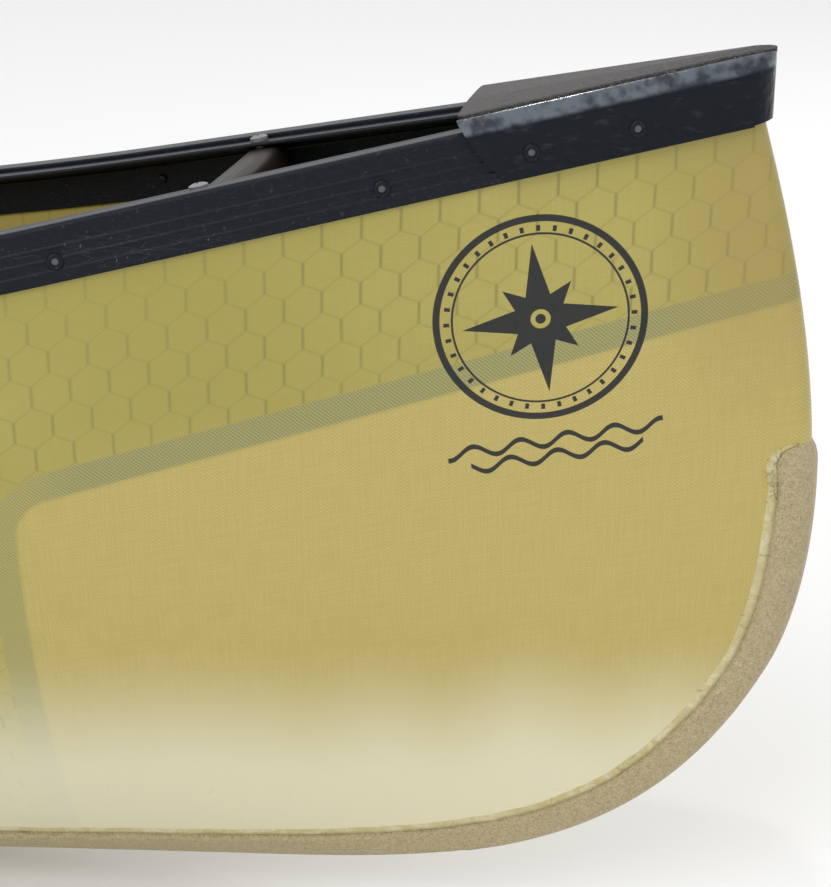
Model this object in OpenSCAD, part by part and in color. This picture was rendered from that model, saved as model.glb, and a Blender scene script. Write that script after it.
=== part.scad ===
/* [Hull] */
// Length over the stems
overall_length = 5030; // [4000:10:6200]
// Width across the hull at the gunwales, amidships
gunwale_beam = 860; // [680:5:1040]
// How much the sides bulge past the gunwales, each side
tumblehome = 12; // [0:1:30]
// Depth from the bottom to the top edge of the skin, amidships
centre_depth = 345; // [290:5:410]
// Height of the skin's top edge at the stems
stem_height = 537; // [460:1:640]
// Thickness of the skin
skin = 5; // [3:0.5:8]
// Half thickness of the solid stem
stem_radius = 9; // [7:0.5:14]
// Rise of the keel at the foot of each stem
rocker = 28; // [5:1:45]
// Climb of the sheer line at the ends, per unit of length
sheer_slope = 0.212; // [0.17:0.005:0.26]
// Length of the straight, flat part of the bottom
flat_length = 900; // [400:20:1400]

/* [Gunwales] */
// Height of the upright band that the gunwales clamp
band = 30; // [26:1:40]
// Thickness of the metal of the gunwales
rail_metal = 2.6; // [2:0.1:4]
// Width of the inwale's flat flange
flange = 24; // [22:1:32]
// How far the outwale laps over the inwale's flange
lap = 6; // [3:1:6]
// Distance between gunwale rivets
rivet_pitch = 164; // [120:1:260]
// Diameter of a rivet's shank
rivet_shank = 4.8; // [4:0.1:6.4]
// Diameter of a rivet's head
rivet_head = 9.6; // [8:0.1:12]

/* [End caps] */
// Length of each end cap
cap_length = 152; // [120:1:200]
// Thickness of the caps
cap_wall = 2.4; // [1.6:0.1:4]
// Gap between a cap and the gunwales
cap_gap = 0.3; // [0.2:0.05:1]

/* [Skid plates and float tanks] */
// Thickness of the felt skid plates
felt = 3.5; // [2:0.5:6]
// Width of the felt on each side of the stem
felt_width = 19; // [14:1:30]
// Height at which the felt starts on the stem
felt_top = 328; // [220:1:400]
// How far the felt runs back under the hull
felt_run = 330; // [200:5:420]
// Distance from the sheer line down to the tank top
tank_drop = 112; // [90:1:160]
// Distance from the stem back to the tank's bulkhead
tank_length = 420; // [300:5:520]
// Thickness of the tank panels
tank_wall = 3; // [2:0.5:6]

/* [Crosspieces] */
// Thickness of the wooden crosspieces
wood = 20; // [16:1:28]
// Width of the yoke at its ends
yoke_width = 62; // [50:1:80]
// Width of the thwart
thwart_width = 48; // [36:1:64]
// Place of the thwart along the hull
thwart_x = -800; // [-1000:10:-500]
// Distance of each carry handle from the end of the hull
handle_inset = 300; // [260:5:400]
// Thickness of the carry handles
handle_width = 28; // [22:1:36]
// Diameter of the screws that hold wood to the inwales
screw = 6; // [5:0.5:8]

/* [Seats] */
// Middle of the stern seat along the hull
stern_seat_x = -1560; // [-1640:10:-1450]
// Middle of the bow seat along the hull
bow_seat_x = 1080; // [900:10:1160]
// Depth of a seat frame, front to back
seat_depth = 250; // [200:5:300]
// Width of a seat rail
rail_width = 38; // [30:1:50]
// Thickness of the seat rails
rail_thick = 20; // [16:1:26]
// Drop from the inwale to the stern seat's rails
seat_drop = 70; // [40:5:100]
// Drop from the inwale to the bow seat's crossbars
bow_seat_drop = 70; // [40:5:90]
// Inside width of the sliding seat, between its side rails
slide_seat_inside = 300; // [240:5:340]
// Travel of the sliding seat each way
slide_travel = 90; // [40:5:120]
// Diameter of the slide tubes
tube = 25; // [20:1:30]
// Radial clearance of the slide blocks on the tubes
slide_clearance = 0.08; // [0.02:0.01:0.1]

/* [Hidden] */

// Hull form. u runs from amidships (0) to the stem (1), v from the keel (0) to the rail line (1).
columns = 24;
rows = 13;
solid_columns = 3;
bottom_fullness = 0.74;
bilge_power = 1.3;
// Share of the girth that lies flat beside the keel
flat_row = 0.042;
stem_reach = 606;
stem_round = 0.365;
stem_rise = 0.82;
recurve = 69;
recurve_power = 1.41;
recurve_start = 0.37;
sheer_straight = 0.15;
plan_hollow_keel = 0.6;
plan_hollow_rail = 0.22;
half_gunwale = gunwale_beam / 2 - stem_radius;
rail_depth = centre_depth - band;
rail_tip = stem_height - band;

function stem_z(v) = rocker + (rail_tip - rocker) * (1 - pow(cos(90 * v), stem_rise));
function stem_bend(v) = max(0, (stem_z(v) / rail_tip - recurve_start) / (1 - recurve_start));
function stem_back(v) = stem_reach * (1 - pow(sin(90 * v), stem_round))
    + recurve * pow(stem_bend(v), recurve_power);
stem_least = min([for (i = [0:200]) stem_back(i / 200)]);
function stem_x(v) = overall_length / 2 - stem_back(v) + stem_least;

function bulge(v) = tumblehome * pow(sin(180 * pow(v, 2)), 2);
function mid_y(v) = half_gunwale * pow(sin(90 * v), bottom_fullness) + bulge(v);
function mid_z(v) = rail_depth * (1 - pow(cos(90 * max(0, (v - flat_row) / (1 - flat_row))), bilge_power));
function plan(u, v) = let (h = plan_hollow_keel + (plan_hollow_rail - plan_hollow_keel) * v)
    1 - (1 + h) * u * u + h * pow(u, 4);

// The sheer climbs ever faster and is straight over the last part of each end.
sheer_bend_end = 1 - sheer_straight;
sheer_ratio = (1 - (stem_height - centre_depth) / (sheer_slope * stem_x(1))) / sheer_bend_end;
sheer_power = sheer_ratio / (1 - sheer_ratio);
sheer_climb = sheer_slope * stem_x(1) / (stem_height - centre_depth);
function sheer(u) = sheer_climb * (u < sheer_bend_end
    ? pow(u, sheer_power + 1) / ((sheer_power + 1) * pow(sheer_bend_end, sheer_power))
    : u - sheer_bend_end * sheer_ratio);
rocker_start = flat_length / overall_length;
rocker_power = 2.6;
function keel_lift(u) = pow(max(0, (u - rocker_start) / (1 - rocker_start)), rocker_power);
function lift(u, v) = (1 - v * v) * keel_lift(u) + v * v * sheer(u);

function nose(u, v) = let (d = min(1, (1 - u) * stem_x(v) / stem_radius), e = min(1, v / 0.1))
    stem_radius * (0.35 + 0.65 * sqrt(1 - pow(1 - d, 2))) * sqrt(1 - pow(1 - e, 2));
function skin_point(u, v) = [
    u * stem_x(v),
    mid_y(v) * plan(u, v) + nose(u, v),
    mid_z(v) + (stem_z(v) - mid_z(v)) * lift(u, v)];

// Stations, from amidships (0) to the stem (columns).
function station(i) = 1 - pow((columns - i) / columns, 2.2);
function row(j) = pow(j / rows, 1.25);
function unit(p) = p / norm(p);
function grid(i, j) = skin_point(station(i), row(min(j, rows))) + [0, 0, j > rows ? band : 0];
function side_normal(i, j) = let (
    along = grid(min(i + 1, columns), j) - (i == 0 ? mirror_x(grid(1, j)) : grid(i - 1, j)),
    up = grid(i, min(j + 1, rows)) - grid(i, j - 1))
    unit(cross(up, along));
function mirror_x(p) = [-p[0], p[1], p[2]];
// Outward normal of the skin; upright rows take the plan normal of the rail line.
function rail_normal(i) = let (
    along = grid(min(i + 1, columns - 1), rows)
        - (i == 0 ? mirror_x(grid(1, rows)) : grid(min(i, columns - 1) - 1, rows)))
    unit([-along[1], along[0], 0]);
function outward(i, j) = j >= rows ? rail_normal(i)
    : j == 0 ? [0, 0, -1]
    : side_normal(i, j);
// The felt wraps the stem, so its normal turns forward there.
function stem_normal(j) = let (
    p = grid(columns, min(j + 1, rows)) - grid(columns, max(min(j, rows) - 1, 0)))
    unit([p[2], 0, -p[0]]);
function wrap_normal(i, j) = i == columns ? unit(stem_normal(j) + (j == 0 ? [0, 0, 0] : [0, 0.8, 0]))
    : outward(i, j);
function inner(i, j) = let (
    o = grid(i, j),
    p = o - skin * outward(i, j))
    [p[0], j == 0 ? 0 : max(p[1], 1 + j * 0.1), j >= rows ? o[2] : p[2]];

// Rings run over one side, under the keel and up the other side.
last_row = rows + 1;
ring_size = 2 * last_row + 1;
function across(p, g) = [p[0], g == last_row ? 0 : g < last_row ? -p[1] : p[1], p[2]];
function fore_aft(p, k) = [k < columns ? -p[0] : p[0], p[1], p[2]];
function outer_ring(k) = [for (g = [0:2 * last_row])
    across(fore_aft(grid(abs(k - columns), abs(g - last_row)), k), g)];
function inner_ring(k) = [for (g = [0:2 * last_row])
    across(fore_aft(inner(abs(k - columns), abs(g - last_row)), k), g)];
function wrap_ring(i, grow) = [for (g = [0:2 * last_row])
    across(grid(i, abs(g - last_row)) + grow * wrap_normal(i, abs(g - last_row)), g)];

// Faces of a skin of rings, each square cut the same way fore and aft of the ring called middle,
// and of the flat strips that close a ring against its other side.
function skin_faces(count, size, base, flip, middle) =
    [for (k = [0:count - 2], g = [0:size - 2], t = [0, 1])
        let (a = base + k * size + g, b = a + 1, c = a + size, d = c + 1,
             f = k < middle ? (t == 0 ? [a, b, c] : [b, d, c]) : (t == 0 ? [a, b, d] : [a, d, c]))
        flip ? [f[2], f[1], f[0]] : f];
function close_faces(size, base, flip) = [for (g = [0:(size - 1) / 2 - 1])
    let (a = base + g, b = a + 1, c = base + size - 2 - g, d = c + 1,
         f = b == c ? [a, b, d] : [a, b, c, d])
    flip ? [for (n = [len(f) - 1:-1:0]) f[n]] : f];

module shell() {
    outer_count = 2 * columns + 1;
    inner_count = outer_count - 2 * solid_columns;
    start = outer_count * ring_size;
    points = concat(
        [for (k = [0:outer_count - 1]) each outer_ring(k)],
        [for (k = [solid_columns:outer_count - 1 - solid_columns]) each inner_ring(k)]);
    // Rim indices, from the first outer ring round the solid ends.
    function outer_at(k, g) = k * ring_size + g;
    function inner_at(k, g) = start + (k - solid_columns) * ring_size + g;
    top = ring_size - 1;
    faces = concat(
        skin_faces(outer_count, ring_size, 0, true, columns),
        close_faces(ring_size, 0, false),
        close_faces(ring_size, (outer_count - 1) * ring_size, true),
        skin_faces(inner_count, ring_size, start, false, columns - solid_columns),
        close_faces(ring_size, start, true),
        close_faces(ring_size, start + (inner_count - 1) * ring_size, false),
        [for (k = [solid_columns:outer_count - 2 - solid_columns])
            [outer_at(k, 0), inner_at(k, 0), inner_at(k + 1, 0), outer_at(k + 1, 0)]],
        [for (k = [solid_columns:outer_count - 2 - solid_columns])
            [outer_at(k + 1, top), inner_at(k + 1, top), inner_at(k, top), outer_at(k, top)]],
        [for (k = [0:solid_columns - 1])
            [outer_at(k, 0), outer_at(k, top), outer_at(k + 1, top), outer_at(k + 1, 0)]],
        [for (k = [outer_count - 1 - solid_columns:outer_count - 2])
            [outer_at(k, 0), outer_at(k, top), outer_at(k + 1, top), outer_at(k + 1, 0)]],
        [[outer_at(solid_columns, 0), outer_at(solid_columns, top),
          inner_at(solid_columns, top), inner_at(solid_columns, 0)]],
        [let (k = outer_count - 1 - solid_columns)
            [outer_at(k, top), outer_at(k, 0), inner_at(k, 0), inner_at(k, top)]]);
    polyhedron(points, faces);
}

// A solid end of the hull's form, from ring first to the last: its facets are the skin's own.
module end_form(rings) {
    count = len(rings);
    top = ring_size - 1;
    points = [for (r = rings) each r];
    polyhedron(points, concat(
        skin_faces(count, ring_size, 0, true, 0),
        close_faces(ring_size, 0, false),
        close_faces(ring_size, (count - 1) * ring_size, true),
        [for (k = [0:count - 2])
            [k * ring_size, k * ring_size + top, (k + 1) * ring_size + top, (k + 1) * ring_size]]));
}
end_columns = 12;
module wrap_form(grow) {
    end_form([for (i = [columns - end_columns:columns]) wrap_ring(i, grow)]);
}
module inner_form() {
    end_form([for (i = [columns - end_columns:columns - solid_columns]) inner_ring(columns + i)]);
}

// The top edge of the skin, as straight stretches between the stations
rail_line = [for (k = [0:2 * columns]) fore_aft(grid(abs(k - columns), last_row), k)];
line_z = [for (p = rail_line) [p[0], p[2]]];
line_y = [for (p = rail_line) [p[0], p[1]]];
function rail_z(x) = lookup(x, line_z);
function rail_y(x) = lookup(x, line_y);
function climb(x) = (rail_z(x + 20) - rail_z(x - 20)) / 40;
function splay(x) = (rail_y(x + 20) - rail_y(x - 20)) / 40;
// Half width at a distance in from the outside of the skin
function inside(x, d) = rail_y(x) - d * sqrt(1 + pow(splay(x), 2));
// The flange is level across the rail, so the height over it at x comes from a little further on.
function rail_turn(x) = -splay(x) / sqrt(1 + pow(splay(x), 2));
function flange_z(x) = rail_z(x + screw_in * rail_turn(x));
function cross_slope(x) = abs(climb(x) * splay(x));
module at_rail(x) {
    translate([x, 0, flange_z(x)]) rotate([0, -atan(climb(x)), 0]) children();
}
// Half width of the skin's outside at a place and height
function skin_y(x, z) = lookup(z, [for (n = [0:60])
    let (v = n / 60, p = skin_point(abs(x) / stem_x(v), v)) [p[2], p[1]]]);
module other_side() {
    mirror([0, 1, 0]) children();
}

// Sweeps a profile of [outward, up] points along the top edge of the port side.
module rail_sweep(profile, short) {
    size = len(profile);
    ks = [short:2 * columns - short];
    points = [for (k = ks) let (i = abs(k - columns), o = grid(i, last_row), n = rail_normal(i))
        for (p = profile) fore_aft([o[0] + p[0] * n[0], o[1] + p[0] * n[1], o[2] + p[1]], k)];
    count = 2 * (columns - short) + 1;
    faces = concat(
        [[for (g = [0:size - 1]) g]],
        [[for (g = [size - 1:-1:0]) (count - 1) * size + g]],
        [for (k = [0:count - 2], g = [0:size - 1])
            let (h = (g + 1) % size)
            [k * size + g, (k + 1) * size + g, (k + 1) * size + h, k * size + h]]);
    polyhedron(points, faces);
}

// Rivets, measured from the end of the top edge
rail_end = stem_x(1);
rivet_first = 201;
rivet_span = 2 * (rail_end - rivet_first);
rivet_gaps = 2 * floor(rivet_span / rivet_pitch / 2) + 1;
rivet_drop = band * 0.55;
rivet_places = [for (n = [0:rivet_gaps]) -rivet_span / 2 + n * rivet_span / rivet_gaps];
cap_rivet_places = [rail_end - 69, rail_end - 124];
cap_rivet_drop = band * 0.47;
ridge = 0.7;
// Puts something at the outside of the skin on the port side, its Z pointing outward.
module at_side(x, drop) {
    translate([x, rail_y(x), rail_z(x) - drop])
        rotate([0, 0, atan(splay(x))]) rotate([-90, 0, 0]) children();
}
rivet_tail = 3;
module rivet(from, to) {
    head_high = 2;
    translate([0, 0, from - 1]) cylinder(d = rivet_shank, h = to - from + 1.5, $fn = 24);
    translate([0, 0, from - rivet_tail]) cylinder(d = rivet_shank * 1.5, h = rivet_tail, $fn = 24);
    translate([0, 0, to]) intersection() {
        cylinder(d = rivet_head, h = head_high, $fn = 32);
        translate([0, 0, head_high - rivet_head]) sphere(r = rivet_head, $fn = 48);
    }
}
module rivet_holes(places, drop) {
    for (x = places) at_side(x, drop)
        translate([0, 0, -skin - rail_metal - 6])
            cylinder(d = rivet_shank + 0.1, h = skin + 2 * rail_metal + 20, $fn = 24);
}
// Flats cut in the ridges for the rivets' heads
module head_seats(places, drop) {
    for (x = places) at_side(x, drop)
        translate([0, 0, rail_metal]) cylinder(d = rivet_head + 0.6, h = 4, $fn = 32);
}
module both_sides() {
    children();
    other_side() children();
}
module both_ends() {
    children();
    mirror([1, 0, 0]) children();
}

module hull_skin() {
    color("#c9b95a") difference() {
        shell();
        both_sides() rivet_holes(rivet_places, rivet_drop);
        both_ends() both_sides() rivet_holes(cap_rivet_places, cap_rivet_drop);
    }
}

// Gunwales: the outwale caps the skin's edge and laps onto the inwale's flat flange.
foot = band - 2;
function ridge_at(share) = let (h = -foot * share) [
    [rail_metal, h + 1], [rail_metal + ridge, h + 0.4], [rail_metal + ridge, h - 0.4],
    [rail_metal, h - 1]];
outwale_profile = concat(
    [[0, -foot], [0, 0], [-skin, 0], [-skin, 0.1], [-skin - lap, 0.1], [-skin - lap, rail_metal - 0.6],
     [-skin - lap + 1, rail_metal], [-skin / 2, rail_metal + 1],
     [rail_metal - 2, rail_metal + 0.6], [rail_metal - 0.4, rail_metal - 0.6],
     [rail_metal, rail_metal - 2.4]],
    ridge_at(0.3), ridge_at(0.53), ridge_at(0.76),
    [[rail_metal, -foot + 0.8], [rail_metal - 0.8, -foot]]);
inwale_profile = [
    [-skin, 0], [-skin, -foot], [-skin - rail_metal + 0.6, -foot], [-skin - rail_metal, -foot + 0.6],
    [-skin - rail_metal, -foot * 0.28 - 0.9], [-skin - rail_metal - 0.8, -foot * 0.28],
    [-skin - rail_metal, -foot * 0.28 + 0.9],
    [-skin - rail_metal, -rail_metal], [-skin - flange + 0.8, -rail_metal],
    [-skin - flange, -rail_metal / 2], [-skin - flange + 0.8, 0]];
outwale_short = 2;
inwale_short = 6;
inwale_end = rail_end * station(columns - inwale_short);
module outwale() {
    color("#15171c") difference() {
        rail_sweep(outwale_profile, outwale_short);
        rivet_holes(rivet_places, rivet_drop);
        head_seats(rivet_places, rivet_drop);
        both_ends() rivet_holes(cap_rivet_places, cap_rivet_drop);
        both_ends() head_seats(cap_rivet_places, cap_rivet_drop);
    }
}
module inwale() {
    color("#15171c") difference() {
        rail_sweep(inwale_profile, inwale_short);
        rivet_holes(rivet_places, rivet_drop);
        both_ends() rivet_holes(cap_rivet_places, cap_rivet_drop);
        screw_holes();
        hanger_holes();
    }
}
module gunwale_rivets() {
    color("#15171c") for (x = rivet_places)
        at_side(x, rivet_drop) rivet(-skin - rail_metal - 0.05, rail_metal + 0.05);
}

// End caps: formed covers that close over both gunwale tips. The top stands above the gunwales,
// slopes out to a shoulder and drops down the outside of the outwales.
cap_low = band - 3;
cap_rise = 7.5;
cap_lean = 3;
cap_round = 5;
cap_nose = 1;
cap_overhang = 17;
// The top edges run nearly straight into each tip
tip_splay = 2 * (1 - plan_hollow_rail) * half_gunwale / rail_end;
// How far the caps' inside stands off the skin: past the outwales' ridges
cap_off = rail_metal + ridge + cap_gap;
module cap_block(grow, length, low, high) {
    tip = cap_nose + grow - cap_round;
    set_in = (cap_off + grow - cap_round) * sqrt(1 + pow(tip_splay, 2));
    hull() for (s = [-1, 1], x = [-length, tip]) {
        half = stem_radius - x * tip_splay + set_in;
        lean = x == tip ? 2 * cap_lean : 0;
        at_tip(x) translate([0, s * half, -low])
            cylinder(r = cap_round, h = low + rail_metal, $fn = 24);
        at_tip(x - lean) translate([0, s * (half - cap_lean), high - cap_round])
            sphere(r = cap_round, $fn = 24);
    }
}
// Puts something on the straight end of the sheer line, at x from its tip
module at_tip(x) {
    translate([rail_end + x, 0, stem_height + x * sheer_slope]) children();
}
module end_cap() {
    top = rail_metal + cap_rise;
    color("#141517") difference() {
        cap_block(cap_wall, cap_length + cap_overhang, cap_low, top + cap_wall);
        cap_block(0, cap_length + 3 * cap_overhang, cap_low + 20, top);
        // Slanted rear edge of the side flanges, which stop short of the top
        at_tip(-cap_length - cap_overhang - cap_round) translate([0, 0, top - 2]) rotate([0, -31, 0])
            translate([-120, -200, -90]) cube([120, 400, 90]);
        both_sides() rivet_holes(cap_rivet_places, cap_rivet_drop);
    }
}
module cap_rivets() {
    color("#141517") for (x = cap_rivet_places) both_sides()
        at_side(x, cap_rivet_drop)
            rivet(-skin - 0.05 - (x < inwale_end ? rail_metal : 0), cap_off + cap_wall + 0.1);
}

// Skid plates: felt bonded round the stem and under the first of the keel.
felt_share = (felt_top - rocker) / (rail_tip - rocker);
felt_row = acos(pow(1 - felt_share, 1 / stem_rise)) / 90;
foot_x = stem_x(0);
felt_path = concat(
    [for (n = [0:20]) let (v = felt_row * pow(1 - n / 20, 1.6)) [stem_x(v), stem_z(v)]],
    [for (n = [1:4]) let (x = foot_x - n / 4 * max(20, felt_run - (rail_end - foot_x)))
        [x, rocker * keel_lift(x / foot_x)]]);
function path_normal(path, n) = let (
    a = path[min(n + 1, len(path) - 1)] - path[max(n - 1, 0)])
    [-a[1], a[0]] / norm(a);
function felt_half(n) = felt_width * (n == 0 || n == len(felt_path) - 1 ? 0.55 : 1);
module felt_band() {
    inward = [for (n = [0:len(felt_path) - 1]) felt_path[n] - felt_half(n) * path_normal(felt_path, n)];
    outside = [for (n = [len(felt_path) - 1:-1:0]) felt_path[n] + 20 * path_normal(felt_path, n)];
    rotate([90, 0, 0]) translate([0, 0, -150]) linear_extrude(300) polygon(concat(inward, outside));
}
module skid_plate() {
    color("#b9a77c") intersection() {
        difference() {
            wrap_form(felt);
            wrap_form(0);
        }
        felt_band();
    }
}

// Float tanks: a moulded top and bulkhead in one piece, bonded to the inside of the skin.
tank_slope = sheer_slope * 1.25;
tank_round = 32;
tank_back = rail_end - tank_length;
function tank_line(x) = stem_height - tank_drop - 20 + (x - rail_end) * tank_slope;
module tank_outline(in) {
    r = tank_round - in;
    tilt = atan(tank_slope);
    cx = tank_back + tank_round;
    cz = tank_line(cx) - tank_round / cos(tilt);
    polygon(concat(
        [[rail_end + 200, tank_line(rail_end + 200) - in / cos(tilt)]],
        [for (n = [0:8]) let (t = 90 + tilt + (90 - tilt) * n / 8) [cx + r * cos(t), cz + r * sin(t)]],
        [[tank_back + in, -80], [rail_end + 200, -80]]));
}
module float_tank() {
    color("#c2b46a") intersection() {
        inner_form();
        rotate([90, 0, 0]) translate([0, 0, -300]) linear_extrude(600) difference() {
            tank_outline(0);
            tank_outline(tank_wall);
        }
    }
}

// Crosspieces: wooden beams that hang under the inwales' flanges.
wood_gap = 0.2;
end_gap = rivet_tail + 0.8;
// The beam's flat top clears the flange's slight slope from side to side
function wood_top(x) = -rail_metal - wood_gap - (flange - lap) * 0.6 * cross_slope(x);
screw_in = skin + lap + (flange - lap) / 2;
function beam_end(x) = inside(x, skin + rail_metal + end_gap);
function screw_y(x) = inside(x, screw_in);
handle_x = rail_end - handle_inset;
// Each beam: its place, half the spacing of its screws, its mean half width at the ends
yoke_beam = [0, yoke_width * 0.27];
thwart_beam = [thwart_x, thwart_width * 0.25];
bow_beam = [handle_x, 0];
stern_beam = [-handle_x, 0];
beams = [yoke_beam, thwart_beam, bow_beam, stern_beam];
function beam_screws(beam) = beam[1] == 0 ? [0] : [-beam[1], beam[1]];
// What is put at each screw, its level 0 at the flange's top or, if low, under the beam
module at_screws(low) {
    for (beam = beams) at_rail(beam[0])
        for (dx = beam_screws(beam), s = [-1, 1])
            translate([dx, s * screw_y(beam[0] + dx),
                       low ? wood_top(beam[0]) - wood : screw * cross_slope(beam[0])]) children();
}
module screw_holes() {
    at_screws(false) translate([0, 0, -60]) cylinder(d = screw + 0.5, h = 120, $fn = 24);
}
// A beam in plan: fore edge at x = fore(y), aft edge at x = -aft(y), ends cut to the inwales.
module beam(x, fore, aft) {
    n = len(fore) - 1;
    front_end = beam_end(x + fore[0]);
    back_end = beam_end(x - aft[0]);
    translate([0, 0, wood_top(x) - wood]) linear_extrude(wood) polygon(concat(
        [for (i = [0:n]) [fore[i], (2 * i / n - 1) * front_end]],
        [for (i = [n:-1:0]) [-aft[i], (2 * i / n - 1) * back_end]]));
}
beam_steps = 40;
function waist(half, thin) = [for (i = [0:beam_steps]) let (y = 2 * i / beam_steps - 1)
    half * (thin + (1 - thin) * pow(abs(y), 3))];
module yoke() {
    half = yoke_width / 2;
    fore = [for (i = [0:beam_steps]) let (y = 2 * i / beam_steps - 1)
        half * (0.78 + 0.22 * pow(abs(y), 3)) + 26 * exp(-pow(y / 0.3, 2))];
    aft = [for (i = [0:beam_steps]) let (y = 2 * i / beam_steps - 1)
        half * (0.78 + 0.22 * pow(abs(y), 3)) + 14 * exp(-pow((abs(y) - 0.33) / 0.14, 2))
            - 34 * exp(-pow(y / 0.17, 2))];
    color("#c79a5d") difference() {
        at_rail(0) beam(0, fore, aft);
        screw_holes();
    }
}
module thwart() {
    color("#c79a5d") difference() {
        at_rail(thwart_x) beam(thwart_x, waist(thwart_width / 2, 0.76), waist(thwart_width / 2, 0.76));
        screw_holes();
    }
}
module carry_handle(x) {
    color("#c79a5d") difference() {
        at_rail(x) beam(x, waist(handle_width / 2, 0.86), waist(handle_width / 2, 0.86));
        screw_holes();
    }
}
washer_high = 1.5;
nut_high = 5;
module washer() {
    difference() {
        cylinder(d = screw * 2.3, h = washer_high, $fn = 32);
        translate([0, 0, -1]) cylinder(d = screw + 0.5, h = washer_high + 2, $fn = 32);
    }
}
module nut() {
    difference() {
        cylinder(d = screw * 1.9, h = nut_high, $fn = 6);
        translate([0, 0, -1]) cylinder(d = screw + 0.08, h = nut_high + 2, $fn = 32);
    }
}
module pan_head() {
    head = screw * 1.8;
    difference() {
        intersection() {
            cylinder(d = head, h = 3.6, $fn = 32);
            translate([0, 0, 3.6 - head]) sphere(r = head, $fn = 48);
        }
        for (a = [0, 90]) rotate([0, 0, a]) translate([-2.4, -0.5, 2]) cube([4.8, 1, 3]);
    }
}
screw_reach = rail_metal + wood_gap + wood + washer_high + nut_high + 4;
module crosspiece_screws() {
    color("#9a9da1") at_screws(false) {
        pan_head();
        translate([0, 0, -screw_reach]) cylinder(d = screw, h = screw_reach + 0.5, $fn = 32);
    }
}
module crosspiece_washers() {
    color("#9a9da1") at_screws(true) translate([0, 0, -washer_high]) washer();
}
module crosspiece_nuts() {
    color("#9a9da1") at_screws(true) translate([0, 0, -washer_high - nut_high]) nut();
}

// Seats hang level from the inwales on screws through wooden spacers.
rail_reach = 9;
seat_frame_half = seat_depth / 2 - rail_width / 2;
stern_front_x = stern_seat_x + seat_frame_half;
stern_rear_x = stern_seat_x - seat_frame_half;
stern_top = rail_z(stern_front_x) - rail_metal - seat_drop;
block_half = 25;
block_inset = block_half + 5;
clamp_half = 13;
stop_gap = 4;
bar_spread = seat_depth / 2 - block_inset + block_half + slide_travel + clamp_half + stop_gap;
bow_front_x = bow_seat_x + bar_spread;
bow_rear_x = bow_seat_x - bar_spread;
bar_top = rail_z(bow_rear_x) - rail_metal - bow_seat_drop;
// Each hung rail: its place along the hull and the height of its top face
hung_rails = [[stern_front_x, stern_top], [stern_rear_x, stern_top],
              [bow_front_x, bar_top], [bow_rear_x, bar_top]];
hanger_low = rail_thick + washer_high + nut_high;
function outer_edge(x) = abs(x) + rail_width / 2;
// Hangers stand under the flange, and far enough in to clear the skin at their foot
function hanger_y(r) = min(screw_y(r[0]),
    skin_y(r[0], r[1] - hanger_low) - skin - screw * 1.15 - 2);
module at_hangers(high) {
    for (r = hung_rails, s = [-1, 1])
        translate([r[0], s * hanger_y(r), high ? 0 : r[1]]) children();
}
module hanger_holes() {
    at_hangers(true) translate([0, 0, 100]) cylinder(d = screw + 0.5, h = 600, $fn = 24);
}
// Everything above (or below) the inwale's flange, for trimming what seats on it
module above_flange(x, level) {
    at_rail(x) translate([-100, -600, level]) cube([200, 1200, 200]);
}
module below_flange(x, level) {
    at_rail(x) translate([-100, -600, level - 400]) cube([200, 1200, 400]);
}
module hung_rail(x, top) {
    length = min(hanger_y([x, top]) + rail_reach, skin_y(outer_edge(x), top - rail_thick) - skin - 2);
    difference() {
        translate([x - rail_width / 2, -length, top - rail_thick])
            cube([rail_width, 2 * length, rail_thick]);
        hanger_holes();
    }
}
module hanger_spacers() {
    color("#c79a5d") for (r = hung_rails, s = [-1, 1]) difference() {
        translate([r[0], s * hanger_y(r), r[1]]) difference() {
            cylinder(d = screw * 2.6, h = 200, $fn = 32);
            translate([0, 0, -1]) cylinder(d = screw + 0.5, h = 300, $fn = 24);
        }
        above_flange(r[0], -rail_metal - wood_gap / 2 - screw * 1.4 * cross_slope(r[0]));
    }
}
module hanger_screws() {
    color("#9a9da1") for (r = hung_rails, s = [-1, 1]) {
        low = r[1] - hanger_low - 2;
        seat = flange_z(r[0]);
        difference() {
            translate([r[0], s * hanger_y(r), seat + 0.9]) pan_head();
            below_flange(r[0], screw * cross_slope(r[0]));
        }
        translate([r[0], s * hanger_y(r), low]) cylinder(d = screw, h = seat + 1.2 - low, $fn = 32);
    }
}
module hanger_washers() {
    color("#9a9da1") at_hangers(false) translate([0, 0, -rail_thick - washer_high]) washer();
}
module hanger_nuts() {
    color("#9a9da1") at_hangers(false) translate([0, 0, -rail_thick - washer_high - nut_high]) nut();
}

// Stern seat: two hung rails, two short side rails between them and woven webbing on top.
webbing = 3;
stern_half = hanger_y(hung_rails[1]) - screw * 1.3 - 5;
module stern_side_rails() {
    color("#c79a5d") for (s = [-1, 1])
        translate([stern_rear_x + rail_width / 2, s * (stern_half - rail_width / 2) - rail_width / 2,
                   stern_top - rail_thick])
            cube([stern_front_x - stern_rear_x - rail_width, rail_width, rail_thick]);
}
module stern_webbing() {
    color("#1d1f22") translate([stern_seat_x - seat_depth / 2, -stern_half, stern_top + wood_gap])
        cube([seat_depth, 2 * stern_half, webbing]);
}

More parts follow.
